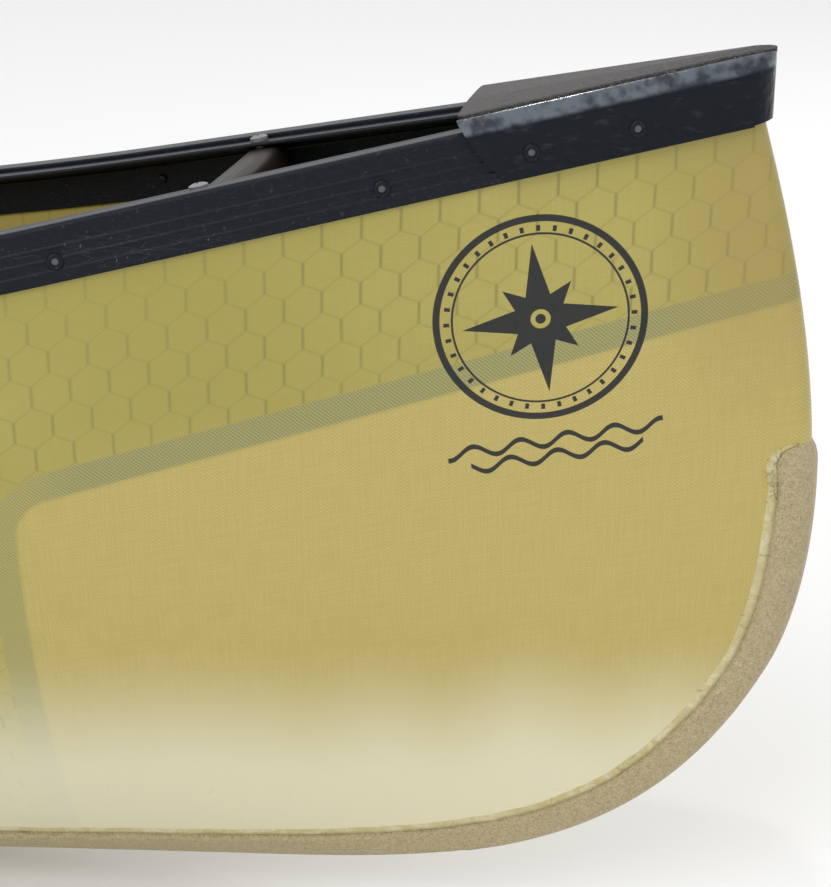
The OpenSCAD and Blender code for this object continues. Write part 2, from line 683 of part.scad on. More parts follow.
// Sliding bow seat: crossbars carry two tubes, and blocks under the seat frame slide on them.
tube_y = slide_seat_inside / 2 + rail_width / 2;
tube_lift = 10;
tube_z = bar_top + tube_lift + tube / 2;
tube_half = bar_spread + clamp_half + 8;
clamp_grip = 0.03;
block_rise = 8;
block_width = tube + 18;
seat_under = tube_z + tube / 2 + block_rise;
module slide_tube() {
    color("#a9acb0") translate([bow_seat_x - tube_half, tube_y, tube_z]) rotate([0, 90, 0])
        difference() {
            cylinder(d = tube, h = 2 * tube_half, $fn = 48);
            translate([0, 0, -1]) cylinder(d = tube - 4, h = 2 * tube_half + 2, $fn = 48);
        }
}
module tube_clamps() {
    color("#202225") for (s = [-1, 1], e = [-1, 1]) difference() {
        translate([bow_seat_x + e * bar_spread - clamp_half, s * tube_y - block_width / 2, bar_top])
            cube([2 * clamp_half, block_width, tube_lift + tube + 5]);
        translate([bow_seat_x + e * bar_spread - 50, s * tube_y, tube_z]) rotate([0, 90, 0])
            cylinder(r = tube / 2 + clamp_grip, h = 100, $fn = 48);
    }
}
module slide_blocks() {
    color("#e4e2da") for (s = [-1, 1], e = [-1, 1]) {
        middle = bow_seat_x + e * (seat_depth / 2 - block_inset);
        difference() {
            translate([middle - block_half, s * tube_y - block_width / 2, tube_z - tube / 2 - block_rise])
                cube([2 * block_half, block_width, tube + 2 * block_rise]);
            translate([middle - 50, s * tube_y, tube_z]) rotate([0, 90, 0])
                cylinder(r = tube / 2 + slide_clearance, h = 100, $fn = 48);
        }
    }
}
module slide_side_rails() {
    color("#c79a5d") for (s = [-1, 1])
        translate([bow_seat_x - seat_depth / 2, s * tube_y - rail_width / 2, seat_under])
            difference() {
                cube([seat_depth, rail_width, rail_thick]);
                for (e = [-1, 1]) translate([seat_depth / 2 + e * (seat_depth / 2 - block_inset),
                                             rail_width / 2, -1]) {
                    cylinder(d = block_screw + 0.3, h = rail_thick + 2, $fn = 24);
                    translate([0, 0, rail_thick - 2]) cylinder(d = block_screw * 2.2, h = 5, $fn = 32);
                }
            }
}
module slide_cross_rail(e) {
    color("#c79a5d") translate([bow_seat_x + e * seat_frame_half - rail_width / 2,
                                -slide_seat_inside / 2, seat_under])
        cube([rail_width, slide_seat_inside, rail_thick]);
}
module slide_webbing() {
    color("#1d1f22")
        translate([bow_seat_x - seat_depth / 2, -tube_y - rail_width / 2, seat_under + rail_thick + wood_gap])
            cube([seat_depth, 2 * tube_y + rail_width, webbing]);
}
block_screw = 5;
module slide_block_screws() {
    color("#9a9da1") for (s = [-1, 1], e = [-1, 1])
        translate([bow_seat_x + e * (seat_depth / 2 - block_inset), s * tube_y, seat_under]) {
            translate([0, 0, 0.1]) cylinder(d = block_screw, h = rail_thick - 2.5, $fn = 24);
            translate([0, 0, rail_thick - 3]) cylinder(d = block_screw * 2, h = 2.6, $fn = 32);
        }
}

hull_skin();  // hull
other_side() outwale();  // outwale_starboard
outwale();  // outwale_port
other_side() inwale();  // inwale_starboard
inwale();  // inwale_port
other_side() gunwale_rivets();  // gunwale_rivets_starboard
gunwale_rivets();  // gunwale_rivets_port
end_cap();  // bow_end_cap
mirror([1, 0, 0]) end_cap();  // stern_end_cap
cap_rivets();  // bow_cap_rivets
mirror([1, 0, 0]) cap_rivets();  // stern_cap_rivets
skid_plate();  // bow_skid_plate
mirror([1, 0, 0]) skid_plate();  // stern_skid_plate
float_tank();  // bow_float_tank
mirror([1, 0, 0]) float_tank();  // stern_float_tank
carry_handle(handle_x);  // bow_carry_handle
carry_handle(-handle_x);  // stern_carry_handle
yoke();
thwart();  // stern_thwart
crosspiece_screws();
crosspiece_washers();
crosspiece_nuts();
color("#c79a5d") hung_rail(stern_front_x, stern_top);  // stern_seat_front_rail
color("#c79a5d") hung_rail(stern_rear_x, stern_top);  // stern_seat_rear_rail
stern_side_rails();  // stern_seat_side_rails
stern_webbing();  // stern_seat_webbing
color("#c79a5d") hung_rail(bow_front_x, bar_top);  // bow_seat_front_bar
color("#c79a5d") hung_rail(bow_rear_x, bar_top);  // bow_seat_rear_bar
hanger_screws();
hanger_spacers();
hanger_washers();
hanger_nuts();
other_side() slide_tube();  // slide_tube_starboard
slide_tube();  // slide_tube_port
tube_clamps();
slide_blocks();
slide_cross_rail(1);  // slide_seat_front_rail
slide_cross_rail(-1);  // slide_seat_rear_rail
slide_side_rails();  // slide_seat_side_rails
slide_webbing();  // slide_seat_webbing
slide_block_screws();
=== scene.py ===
import math
import bpy
import numpy as np
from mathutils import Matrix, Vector
from mathutils.bvhtree import BVHTree


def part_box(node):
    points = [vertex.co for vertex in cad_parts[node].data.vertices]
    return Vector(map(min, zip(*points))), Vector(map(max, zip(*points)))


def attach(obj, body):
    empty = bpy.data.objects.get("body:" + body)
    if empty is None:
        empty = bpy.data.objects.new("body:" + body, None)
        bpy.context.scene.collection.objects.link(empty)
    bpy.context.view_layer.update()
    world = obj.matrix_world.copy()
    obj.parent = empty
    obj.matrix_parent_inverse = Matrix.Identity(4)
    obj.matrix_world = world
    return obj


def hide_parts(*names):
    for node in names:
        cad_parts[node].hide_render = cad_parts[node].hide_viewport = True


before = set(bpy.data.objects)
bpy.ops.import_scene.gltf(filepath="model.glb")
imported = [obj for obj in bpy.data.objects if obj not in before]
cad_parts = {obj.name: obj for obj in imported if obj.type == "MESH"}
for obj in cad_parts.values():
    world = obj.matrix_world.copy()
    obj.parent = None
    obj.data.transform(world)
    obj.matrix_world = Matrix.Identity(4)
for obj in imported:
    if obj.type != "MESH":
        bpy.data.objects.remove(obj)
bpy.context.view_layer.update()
print("frame loaded")

# What a user would change
hullLook = dict(
    stationCount=130, rowCount=74, innerStationCount=90, innerRowCount=44,
    skinColour=(0.45, 0.385, 0.105), deepColour=(0.36, 0.31, 0.065), bondColour=(0.225, 0.230, 0.085),
    # the pale lower-hull colour here, with its height, wave and strength below, is a painted reflection of the pale
    # floor
    tankColour=(0.53, 0.41, 0.110), floorReflectionColour=(0.84, 0.81, 0.62), printColour=(0.17, 0.155, 0.040),
    roughness=0.30, coat=0.16, coatRoughness=0.10, throughLight=0.10, glowColour=(0.62, 0.47, 0.12),
    cellWidth=0.0205, cellLine=0.075, cellStrength=0.68, weavePitch=0.0021, weaveStrength=0.55,
    floorReflectionHeight=0.212, floorReflectionWave=0.012, floorReflectionStrength=0.78)
emblemLook = dict(
    centre=(2.361, 0.404), turn=0.14, ringRadius=0.056, ringWidth=0.0042, innerRing=0.0475, innerWidth=0.0012,
    starReach=0.043, waveDrop=0.071, waveHalf=0.060, waveHeight=0.0032, waveWidth=0.0034,
    colour=(0.004, 0.009, 0.016), strength=0.97)
gunwaleLook = dict(colour=(0.006, 0.008, 0.013), roughness=0.34, coat=0.03, scratchStrength=0.5, steps=220)
capLook = dict(colour=(0.007, 0.006, 0.006), sideColour=(0.004, 0.006, 0.010), grain=620.0,
               length=0.152, overhang=0.011, rise=0.0100, shoulder=0.0030, low=0.027,
               wall=0.0024, stand=0.0036, roundness=0.006, lengthSteps=90)
rivetLook = dict(headRadius=0.0048, headHeight=0.0017, coreRadius=0.0023, firstFromEnd=0.201, pitch=0.164,
                 dropShare=0.55, capPlaces=(0.069, 0.124), capDropShare=0.47)
feltLook = dict(colour=(0.50, 0.415, 0.24), width=0.0195, margin=0.0065, thickness=0.0034,
                topHeight=0.328, run=0.330, fibreCount=420, fibreLength=0.007, fibreThickness=0.00016, seed=5)
tankLook = dict(length=0.4175, lineAtStem=0.4055, slope=0.262, cornerRadius=0.034, wall=0.003,
                colour=(0.52, 0.43, 0.15), tapeWidth=0.017)
woodLook = dict(lightColour=(0.61, 0.41, 0.20), darkColour=(0.43, 0.255, 0.10), roughness=0.30, coat=0.45,
                fibreColour=(0.33, 0.19, 0.075), poreColour=(0.20, 0.11, 0.045), shine=0.5)
# near-black wood for the carry handles, as painted shade
handleLook = dict(lightColour=(0.034, 0.026, 0.021), darkColour=(0.012, 0.009, 0.008), roughness=0.40, coat=0.03,
                  fibreColour=(0.030, 0.022, 0.018), poreColour=(0.008, 0.006, 0.005), shine=0.10)
webLook = dict(colour=(0.013, 0.014, 0.017), strap=0.0245, gap=0.0025, thickness=0.0014, weave=0.0011)
metalLook = dict(steel=(0.36, 0.36, 0.365), tube=(0.66, 0.67, 0.69), clamp=(0.022, 0.022, 0.024), block=(0.80, 0.78, 0.71))
sceneLook = dict(floorColour=(0.90, 0.90, 0.90), worldStrength=0.92, keyPower=58.0, rimPower=16.0, glintPower=4.5, keySize=3.6)
cameraLook = dict(place=(2.4609, -1.0551, 0.7026), yaw=0.1662, pitch=0.3514, roll=-0.0046, lens=77.93)

# the hull's form, as the CAD has it, in metres
form = dict(length=5.03, beam=0.86, tumblehome=0.012, depth=0.345, stemHeight=0.537, skin=0.005,
            stemRadius=0.009, rocker=0.028, sheerSlope=0.212, flatLength=0.9, band=0.030,
            fullness=0.74, bilge=1.3, flatRow=0.042, stemReach=0.606, stemRound=0.365, stemRise=0.82,
            recurve=0.069, recurvePower=1.41, recurveStart=0.37, sheerStraight=0.15,
            hollowKeel=0.6, hollowRail=0.22, rockerPower=2.6, railMetal=0.0026, flange=0.024, lap=0.006)
halfPi = math.pi / 2
railDepth = form["depth"] - form["band"]
railTip = form["stemHeight"] - form["band"]
halfGunwale = form["beam"] / 2 - form["stemRadius"]


# Hull formulas
def stemZ(v):
    return form["rocker"] + (railTip - form["rocker"]) * (1 - np.clip(np.cos(halfPi * v), 0, 1) ** form["stemRise"])


def stemBack(v):
    bend = np.maximum(0, (stemZ(v) / railTip - form["recurveStart"]) / (1 - form["recurveStart"]))
    return (form["stemReach"] * (1 - np.clip(np.sin(halfPi * v), 0, 1) ** form["stemRound"])
            + form["recurve"] * bend ** form["recurvePower"])


stemLeast = stemBack(np.linspace(0, 1, 201)).min()


def stemX(v):
    return form["length"] / 2 - stemBack(v) + stemLeast


railEnd = float(stemX(np.array(1.0)))
sheerBend = 1 - form["sheerStraight"]
sheerRatio = (1 - (form["stemHeight"] - form["depth"]) / (form["sheerSlope"] * railEnd)) / sheerBend
sheerPower = sheerRatio / (1 - sheerRatio)
sheerClimb = form["sheerSlope"] * railEnd / (form["stemHeight"] - form["depth"])


def sheer(u):
    low = u ** (sheerPower + 1) / ((sheerPower + 1) * sheerBend ** sheerPower)
    return sheerClimb * np.where(u < sheerBend, low, u - sheerBend * sheerRatio)


def skinPoint(u, v):
    midY = halfGunwale * np.sin(halfPi * v) ** form["fullness"] + form["tumblehome"] * np.sin(math.pi * v * v) ** 2
    row = np.maximum(0, (v - form["flatRow"]) / (1 - form["flatRow"]))
    midZ = railDepth * (1 - np.clip(np.cos(halfPi * row), 0, 1) ** form["bilge"])
    hollow = form["hollowKeel"] + (form["hollowRail"] - form["hollowKeel"]) * v
    plan = 1 - (1 + hollow) * u * u + hollow * u ** 4
    start = form["flatLength"] / form["length"]
    keelLift = np.maximum(0, (u - start) / (1 - start)) ** form["rockerPower"]
    lift = (1 - v * v) * keelLift + v * v * sheer(u)
    d = np.clip((1 - u) * stemX(v) / form["stemRadius"], 0, 1)
    e = np.clip(v / 0.1, 0, 1)
    nose = form["stemRadius"] * np.sqrt(1 - (1 - d) ** 2) * np.sqrt(1 - (1 - e) ** 2)
    return np.stack([u * stemX(v), midY * plan + nose, midZ + (stemZ(v) - midZ) * lift], -1)


def railPoint(x):
    u = np.clip(np.abs(x) / railEnd, 0, 1)
    p = skinPoint(u, np.ones_like(u))
    return p[..., 1], p[..., 2] + form["band"]


# Mesh helpers
def makeObject(name, verts, faces, uvs=None, smooth=True, materials=(), materialIndex=None):
    mesh = bpy.data.meshes.new(name)
    mesh.from_pydata([tuple(map(float, p)) for p in verts], [], faces)
    if uvs is not None:
        layer = mesh.uv_layers.new(name="surface")
        index = np.zeros(len(mesh.loops), np.int32)
        mesh.loops.foreach_get("vertex_index", index)
        layer.data.foreach_set("uv", np.asarray(uvs, np.float32)[index].ravel())
    for m in materials:
        mesh.materials.append(m)
    if materialIndex is not None:
        mesh.polygons.foreach_set("material_index", np.asarray(materialIndex, np.int32))
    mesh.polygons.foreach_set("use_smooth", np.full(len(mesh.polygons), smooth, bool))
    mesh.update()
    obj = bpy.data.objects.new(name, mesh)
    bpy.context.scene.collection.objects.link(obj)
    return obj


def gridFaces(rows, size, base=0, flip=False, closed=False):
    faces = []
    for r in range(rows - 1):
        for g in range(size if closed else size - 1):
            h = (g + 1) % size
            a, b, c, d = base + r * size + g, base + r * size + h, base + (r + 1) * size + h, base + (r + 1) * size + g
            faces.append((d, c, b, a) if flip else (a, b, c, d))
    return faces


def loft(name, rings, materials=(), smooth=True, sharp=0.7, caps=True, uvs=None):
    rings = np.asarray(rings, float)
    rows, size = rings.shape[:2]
    faces = gridFaces(rows, size, closed=True)
    if caps:
        faces.append(tuple(range(size)))
        faces.append(tuple((rows - 1) * size + g for g in range(size - 1, -1, -1)))
    obj = makeObject(name, rings.reshape(-1, 3), faces, uvs=uvs, smooth=smooth, materials=materials)
    settle(obj, sharp)
    return obj


def settle(obj, sharp=0.7, weld=0.0):
    import bmesh
    bm = bmesh.new()
    bm.from_mesh(obj.data)
    if weld:
        bmesh.ops.remove_doubles(bm, verts=bm.verts, dist=weld)
    bmesh.ops.recalc_face_normals(bm, faces=bm.faces)
    for e in bm.edges:
        e.smooth = not (len(e.link_faces) == 2 and e.calc_face_angle(0) > sharp)
    bm.to_mesh(obj.data)
    bm.free()
    obj.data.update()


def stitch(objects, name):
    verts, faces, base, index, materials = [], [], 0, [], []
    for o in objects:
        slots = []
        for m in o.data.materials:
            if m not in materials:
                materials.append(m)
            slots.append(materials.index(m))
        verts += [v.co.copy() for v in o.data.vertices]
        for p in o.data.polygons:
            faces.append(tuple(base + i for i in p.vertices))
            index.append(slots[p.material_index] if slots else 0)
        base += len(o.data.vertices)
    made = makeObject(name, verts, faces, smooth=True, materials=materials, materialIndex=index)
    for o in objects:
        bpy.data.objects.remove(o)
    return made


# Shader helpers
class Maths:
    def __init__(self, tree, socket):
        self.tree, self.socket = tree, socket

    def step(self, operation, *others):
        node = self.tree.nodes.new("ShaderNodeMath")
        node.operation = operation
        for slot, value in zip(node.inputs, (self,) + others):
            if isinstance(value, Maths):
                self.tree.links.new(value.socket, slot)
            else:
                slot.default_value = float(value)
        return Maths(self.tree, node.outputs[0])

    def lifted(self, value):
        node = self.tree.nodes.new("ShaderNodeValue")
        node.outputs[0].default_value = float(value)
        return Maths(self.tree, node.outputs[0])

    def __add__(self, other): return self.step("ADD", other)
    def __radd__(self, other): return self.step("ADD", other)
    def __sub__(self, other): return self.step("SUBTRACT", other)
    def __rsub__(self, other): return self.lifted(other).step("SUBTRACT", self)
    def __mul__(self, other): return self.step("MULTIPLY", other)
    def __rmul__(self, other): return self.step("MULTIPLY", other)
    def __truediv__(self, other): return self.step("DIVIDE", other)
    def __rtruediv__(self, other): return self.lifted(other).step("DIVIDE", self)
    def __pow__(self, other): return self.step("POWER", other)
    def __mod__(self, other): return self.step("FLOORED_MODULO", other)
    def __abs__(self): return self.step("ABSOLUTE")
    def __neg__(self): return self.step("MULTIPLY", -1)
    def sin(self): return self.step("SINE")
    def cos(self): return self.step("COSINE")
    def sqrt(self): return self.step("SQRT")
    def floor(self): return self.step("FLOOR")
    def least(self, other): return self.step("MINIMUM", other)
    def most(self, other): return self.step("MAXIMUM", other)
    def angle(self, other): return self.step("ARCTAN2", other)

    def ramp(self, low, high):
        node = self.tree.nodes.new("ShaderNodeMapRange")
        node.interpolation_type = "SMOOTHSTEP"
        rising = low < high
        self.tree.links.new(self.socket, node.inputs["Value"])
        node.inputs["From Min"].default_value = min(low, high)
        node.inputs["From Max"].default_value = max(low, high)
        node.inputs["To Min"].default_value = 0.0 if rising else 1.0
        node.inputs["To Max"].default_value = 1.0 if rising else 0.0
        return Maths(self.tree, node.outputs["Result"])


class Surface:
    def __init__(self, name):
        self.material = bpy.data.materials.new(name)
        self.material.use_nodes = True
        self.tree = self.material.node_tree
        self.tree.nodes.clear()
        self.output = self.tree.nodes.new("ShaderNodeOutputMaterial")
        self.shader = self.tree.nodes.new("ShaderNodeBsdfPrincipled")
        self.tree.links.new(self.shader.outputs[0], self.output.inputs["Surface"])

    def node(self, kind, settings=None, **values):
        made = self.tree.nodes.new(kind)
        for key, value in (settings or {}).items():
            setattr(made, key, value)
        for key, value in values.items():
            slot = made.inputs[key.replace("_", " ")]
            if isinstance(value, Maths):
                self.tree.links.new(value.socket, slot)
            elif isinstance(value, bpy.types.NodeSocket):
                self.tree.links.new(value, slot)
            else:
                slot.default_value = value
        return made

    def place(self):
        return self.node("ShaderNodeTexCoord").outputs["Object"]

    def uv(self, name="surface"):
        return self.node("ShaderNodeUVMap", {"uv_map": name}).outputs[0]

    def parts(self, vector):
        made = self.node("ShaderNodeSeparateXYZ", Vector=vector)
        return [Maths(self.tree, o) for o in made.outputs]

    def vector(self, x, y, z=0.0):
        return self.node("ShaderNodeCombineXYZ", X=x, Y=y, Z=z).outputs[0]

    def scaled(self, vector, scale):
        made = self.node("ShaderNodeVectorMath", {"operation": "MULTIPLY"})
        self.tree.links.new(vector, made.inputs[0])
        made.inputs[1].default_value = scale
        return made.outputs[0]

    def noise(self, vector, scale, detail=3.0, rough=0.55, distortion=0.0):
        made = self.node("ShaderNodeTexNoise", Vector=vector, Scale=scale, Detail=detail,
                         Roughness=rough, Distortion=distortion)
        return Maths(self.tree, made.outputs[0])

    def cells(self, vector, scale, feature="F1"):
        made = self.node("ShaderNodeTexVoronoi", {"feature": feature}, Vector=vector, Scale=scale)
        return Maths(self.tree, made.outputs["Distance"])

    def colour(self, rgb):
        made = self.tree.nodes.new("ShaderNodeRGB")
        made.outputs[0].default_value = (*rgb, 1)
        return made.outputs[0]

    def mix(self, a, b, share):
        made = self.node("ShaderNodeMix", {"data_type": "RGBA"})
        for slot, value in ((made.inputs[6], a), (made.inputs[7], b)):
            if isinstance(value, bpy.types.NodeSocket):
                self.tree.links.new(value, slot)
            else:
                slot.default_value = (*value, 1)
        if isinstance(share, Maths):
            self.tree.links.new(share.socket, made.inputs[0])
        else:
            made.inputs[0].default_value = share
        return made.outputs[2]

    def bump(self, height, distance, strength=1.0, after=None):
        made = self.node("ShaderNodeBump", Height=height, Distance=distance, Strength=strength)
        if after is not None:
            self.tree.links.new(after, made.inputs["Normal"])
        return made.outputs[0]

    def finish(self, **values):
        for key, value in values.items():
            slot = self.shader.inputs[key.replace("_", " ")]
            if isinstance(value, Maths):
                self.tree.links.new(value.socket, slot)
            elif isinstance(value, bpy.types.NodeSocket):
                self.tree.links.new(value, slot)
            elif isinstance(value, tuple) and len(value) == 3:
                slot.default_value = (*value, 1)
            else:
                slot.default_value = value
        return self.material


# Materials
def tankField(s, along, height):
    look = tankLook
    foreAft = abs(along)
    top = foreAft * look["slope"] + (look["lineAtStem"] + look["tapeWidth"] - look["slope"] * railEnd)
    inX = foreAft - (railEnd - look["length"])
    inZ = (top - height) * math.cos(math.atan(look["slope"]))
    r = look["cornerRadius"]
    a, b = (r - inX).most(0), (r - inZ).most(0)
    return r - (a * a + b * b).sqrt()


def hexLines(s, x, y, width, line):
    px, py = x / width, y / width
    root = math.sqrt(3)
    ax, ay = (px % 1) - 0.5, (py % root) - root / 2
    bx, by = ((px - 0.5) % 1) - 0.5, ((py - root / 2) % root) - root / 2
    nearer = (ax * ax + ay * ay).step("LESS_THAN", bx * bx + by * by)
    gx = abs(nearer * ax + (1 - nearer) * bx)
    gy = abs(nearer * ay + (1 - nearer) * by)
    upright = (0.5 - gx).ramp(line, 0.0)
    slanted = (0.5 - (gx * 0.5 + gy * (root / 2))).ramp(line * 0.8, 0.0)
    return upright.most(slanted * 0.4)


def emblemMask(s, x, z):
    look = emblemLook
    c, t = math.cos(look["turn"]), math.sin(look["turn"])
    dx, dz = x - look["centre"][0], z - look["centre"][1]
    ex, ez = dx * c + dz * t, dz * c - dx * t
    radius = (ex * ex + ez * ez).sqrt()
    edge = 0.0004
    ring = abs(radius - look["ringRadius"]).ramp(look["ringWidth"] / 2, look["ringWidth"] / 2 - edge)
    inner = abs(radius - look["innerRing"]).ramp(look["innerWidth"] / 2 + edge / 2, look["innerWidth"] / 2 - edge / 2)
    ticks = abs((ex.angle(ez) * (36 / math.tau)) % 1 - 0.5).ramp(0.14, 0.10) * abs(radius - 0.0505).ramp(0.0018, 0.0014)

    def star(turn, reach, waist):
        a = abs(((ex.angle(ez) / math.tau + turn) * 4) % 1 - 0.5) * (math.tau / 4)
        along, across = radius * a.cos(), radius * a.sin()
        return ((along / reach) + (across / waist)).ramp(1.0, 0.97)

    long, short = star(0.125, look["starReach"], 0.0098), star(0.0, look["starReach"] * 0.62, 0.0098)
    hub = radius.ramp(0.0052, 0.0056)
    rose = long.most(short) * hub.most(radius.ramp(0.0030, 0.0026))
    waves = None
    for n in range(2):
        drop = look["waveDrop"] + 0.0095 * n
        wave = (ex * (math.tau / 0.026) + n * 1.6).sin() * look["waveHeight"]
        band = abs(ez + drop - wave).ramp(look["waveWidth"] / 2, look["waveWidth"] / 2 - edge)
        band = band * abs(ex).ramp(look["waveHalf"] - 0.012 * n, look["waveHalf"] - 0.012 * n - 0.0006)
        waves = band if waves is None else waves.most(band)
    return ring.most(inner).most(ticks).most(rose).most(waves)


def makeSkin(name, outside):
    s, look = Surface(name), hullLook
    px, py, pz = s.parts(s.place())
    u, v, _ = s.parts(s.uv())
    flat = s.vector(u, v)
    wide = s.noise(s.scaled(s.place(), (3.0, 3.0, 5.0)), 1.0, 3.0)
    fine = s.noise(s.scaled(s.place(), (60.0, 60.0, 60.0)), 1.0, 4.0)
    drift = (s.noise(flat, 9.0, 2.0) - 0.5) * 0.004
    field = tankField(s, px, pz)
    inTank = field.ramp(0.0, 0.0012)
    arm = (abs(px) - (railEnd - tankLook["length"])).ramp(0.02, 0.06)
    bond = inTank * field.ramp(tankLook["tapeWidth"], tankLook["tapeWidth"] - 0.0014)
    inside = field.ramp(tankLook["tapeWidth"] - 0.002, tankLook["tapeWidth"] + 0.002)
    print3 = hexLines(s, u + drift, v + drift, look["cellWidth"], look["cellLine"]) * (1 - inTank)
    print3 = print3 * (s.noise(flat, 5.0, 2.0).ramp(0.25, 0.62) * 0.6 + 0.4)
    k = math.tau / look["weavePitch"]
    warp, weft = (u * k).sin(), (v * k).sin()
    weave = (warp * weft * 0.5 + 0.5)
    speck = weave ** 3.0
    slub = s.noise(s.vector(u * 35.0, v * 900.0), 1.0, 2.0) * 0.5 + s.noise(s.vector(u * 900.0, v * 35.0), 1.0, 2.0) * 0.5
    base = s.mix(look["deepColour"], look["skinColour"], wide.ramp(0.25, 0.75))
    base = s.mix(base, look["tankColour"], inside * 0.75)
    base = s.mix(base, look["bondColour"], bond * (arm * 0.35 + 0.5))
    base = s.mix(base, look["printColour"], print3 * look["cellStrength"])
    base = s.mix(base, (0.74, 0.68, 0.42), speck * look["weaveStrength"] * (inside * 0.8 + bond + 0.25).least(1.0))
    base = s.mix(base, look["deepColour"], slub.ramp(0.60, 0.42) * 0.24)
    # amber where the laminate turns solid towards the stem
    stemShare = (abs(px) - (railEnd - 0.05)).ramp(-0.03, 0.05) * pz.ramp(0.30, 0.45)
    base = s.mix(base, (0.36, 0.27, 0.085), stemShare * 0.55)
    # painted reflection of the pale floor: the lower hull is mixed towards a pale colour below a wavy line
    edge = (s.noise(s.scaled(s.place(), (6.0, 0.0, 0.0)), 1.0, 2.5) - 0.5) * (look["floorReflectionWave"] * 6)
    low = (pz + edge + (s.noise(flat, 40.0, 2.0) - 0.5) * 0.004)
    floorReflection = low.ramp(look["floorReflectionHeight"], look["floorReflectionHeight"] - 0.11) * look["floorReflectionStrength"]
    if outside:
        base = s.mix(base, look["floorReflectionColour"], floorReflection)
        near = px.ramp(2.0, 2.05)
        mask = emblemMask(s, px, pz) * near * (fine.ramp(0.2, 0.3) * 0.1 + 0.9)
        base = s.mix(base, emblemLook["colour"], mask * emblemLook["strength"])
        scuff = s.cells(s.scaled(flat, (9.0, 160.0, 1.0)), 1.0, "DISTANCE_TO_EDGE").ramp(0.012, 0.0) \
            * s.noise(flat, 7.0, 2.0).ramp(0.60, 0.72) * pz.ramp(0.16, 0.05)
        base = s.mix(base, (0.80, 0.77, 0.62), scuff * 0.5)
        roughness = fine * 0.10 + wide * 0.06 + scuff * 0.2 + (look["roughness"] - 0.08)
    else:
        base = s.mix(base, (0.60, 0.45, 0.14), 0.25)
        roughness = fine * 0.14 + 0.42
    height = weave * 0.35 + slub * 0.65
    normal = s.bump(height, 0.00012, 0.35)
    normal = s.bump(print3 * -1.0, 0.0002, 0.25, after=normal)
    normal = s.bump(s.noise(flat, 14.0, 2.0), 0.0012, 0.22, after=normal)
    s.finish(Base_Color=base, Roughness=roughness, Normal=normal,
             Coat_Weight=look["coat"] if outside else 0.1, Coat_Roughness=look["coatRoughness"], Specular_IOR_Level=0.32)
    glow = s.node("ShaderNodeBsdfTranslucent", Color=(*look["glowColour"], 1), Normal=normal)
    blend = s.node("ShaderNodeMixShader", Fac=look["throughLight"])
    s.tree.links.new(s.shader.outputs[0], blend.inputs[1])
    s.tree.links.new(glow.outputs[0], blend.inputs[2])
    s.tree.links.new(blend.outputs[0], s.output.inputs["Surface"])
    return s.material


def makeGunwalePaint():
    s, look = Surface("gunwalePaint"), gunwaleLook
    place = s.place()
    streak = s.cells(s.scaled(place, (14.0, 260.0, 420.0)), 1.0, "DISTANCE_TO_EDGE")
    patch = s.noise(s.scaled(place, (9.0, 30.0, 30.0)), 1.0, 3.0)
    scratch = streak.ramp(0.010, 0.0) * patch.ramp(0.56, 0.68) * look["scratchStrength"]
    nick = s.cells(s.scaled(place, (240.0, 240.0, 90.0)), 1.0).ramp(0.13, 0.08) * patch.ramp(0.55, 0.75)
    dust = s.noise(place, 420.0, 3.0)
    drag = s.noise(s.scaled(place, (3.0, 900.0, 900.0)), 1.0, 2.0)
    base = s.mix(look["colour"], (0.020, 0.023, 0.030), drag.ramp(0.45, 0.8) * 0.4)
    base = s.mix(base, (0.30, 0.31, 0.32), (scratch + nick * 0.6).least(1.0) * 0.55)
    base = s.mix(base, (0.16, 0.16, 0.155), dust.ramp(0.62, 0.74) * 0.18)
    normal = s.bump(drag * 0.5 + dust * 0.5, 0.00008, 0.5)
    normal = s.bump(s.noise(place, 60.0, 2.0), 0.0004, 0.20, after=normal)
    return s.finish(Base_Color=base, Roughness=drag * 0.14 + dust * 0.10 + scratch * 0.2 + (look["roughness"] - 0.10),
                    Normal=normal, Coat_Weight=look["coat"], Coat_Roughness=0.14, Specular_IOR_Level=0.14)


def makeCapVinyl(name, wrinkled):
    s, look = Surface(name), capLook
    place = s.place()
    speckle = s.noise(place, 900.0, 2.0)
    wavy = s.noise(place, 95.0, 2.5)
    if wrinkled:
        grain = s.cells(s.scaled(place, (1.0, 1.35, 1.0)), look["grain"], "SMOOTH_F1")
        crease = s.noise(place, look["grain"] * 0.55, 5.0, 0.65, 1.4)
        height = grain * 0.6 + crease * 0.8
        # the brownish tint and the pale speckles on the grained top are painted highlight and painted glints
        base = s.mix(look["colour"], (0.105, 0.086, 0.076), crease.ramp(0.44, 0.72) * 0.7)
        base = s.mix(base, (0.34, 0.32, 0.30), speckle.ramp(0.64, 0.74) * 0.75)
        normal = s.bump(height, 0.00045, 0.9)
        normal = s.bump(wavy, 0.0016, 0.3, after=normal)
        return s.finish(Base_Color=base, Roughness=crease * 0.25 + 0.28, Normal=normal, Specular_IOR_Level=0.16)
    normal = s.bump(s.noise(place, 260.0, 3.0), 0.0004, 0.5)
    normal = s.bump(wavy, 0.0022, 0.55, after=normal)
    rub = s.noise(s.scaled(place, (30.0, 300.0, 300.0)), 1.0, 2.0)
    base = s.mix(look["sideColour"], (0.030, 0.033, 0.040), rub.ramp(0.55, 0.8) * 0.6)
    # the leaning band above the rail line gets a painted highlight in its colour, and a glossier coat
    x, _, z = s.parts(place)
    above = z - (abs(x) - railEnd) * form["sheerSlope"] - form["stemHeight"]
    glossAndPaintedHighlight = above.ramp(0.0005, 0.0035) * above.ramp(0.0124, 0.0108) * (wavy.ramp(0.34, 0.60) * 0.75 + 0.25)
    base = s.mix(base, (0.115, 0.135, 0.170), glossAndPaintedHighlight * 0.75)
    return s.finish(Base_Color=base, Roughness=speckle * 0.10 + 0.16, Normal=normal,
                    Specular_IOR_Level=0.16, Coat_Weight=glossAndPaintedHighlight, Coat_Roughness=0.10)


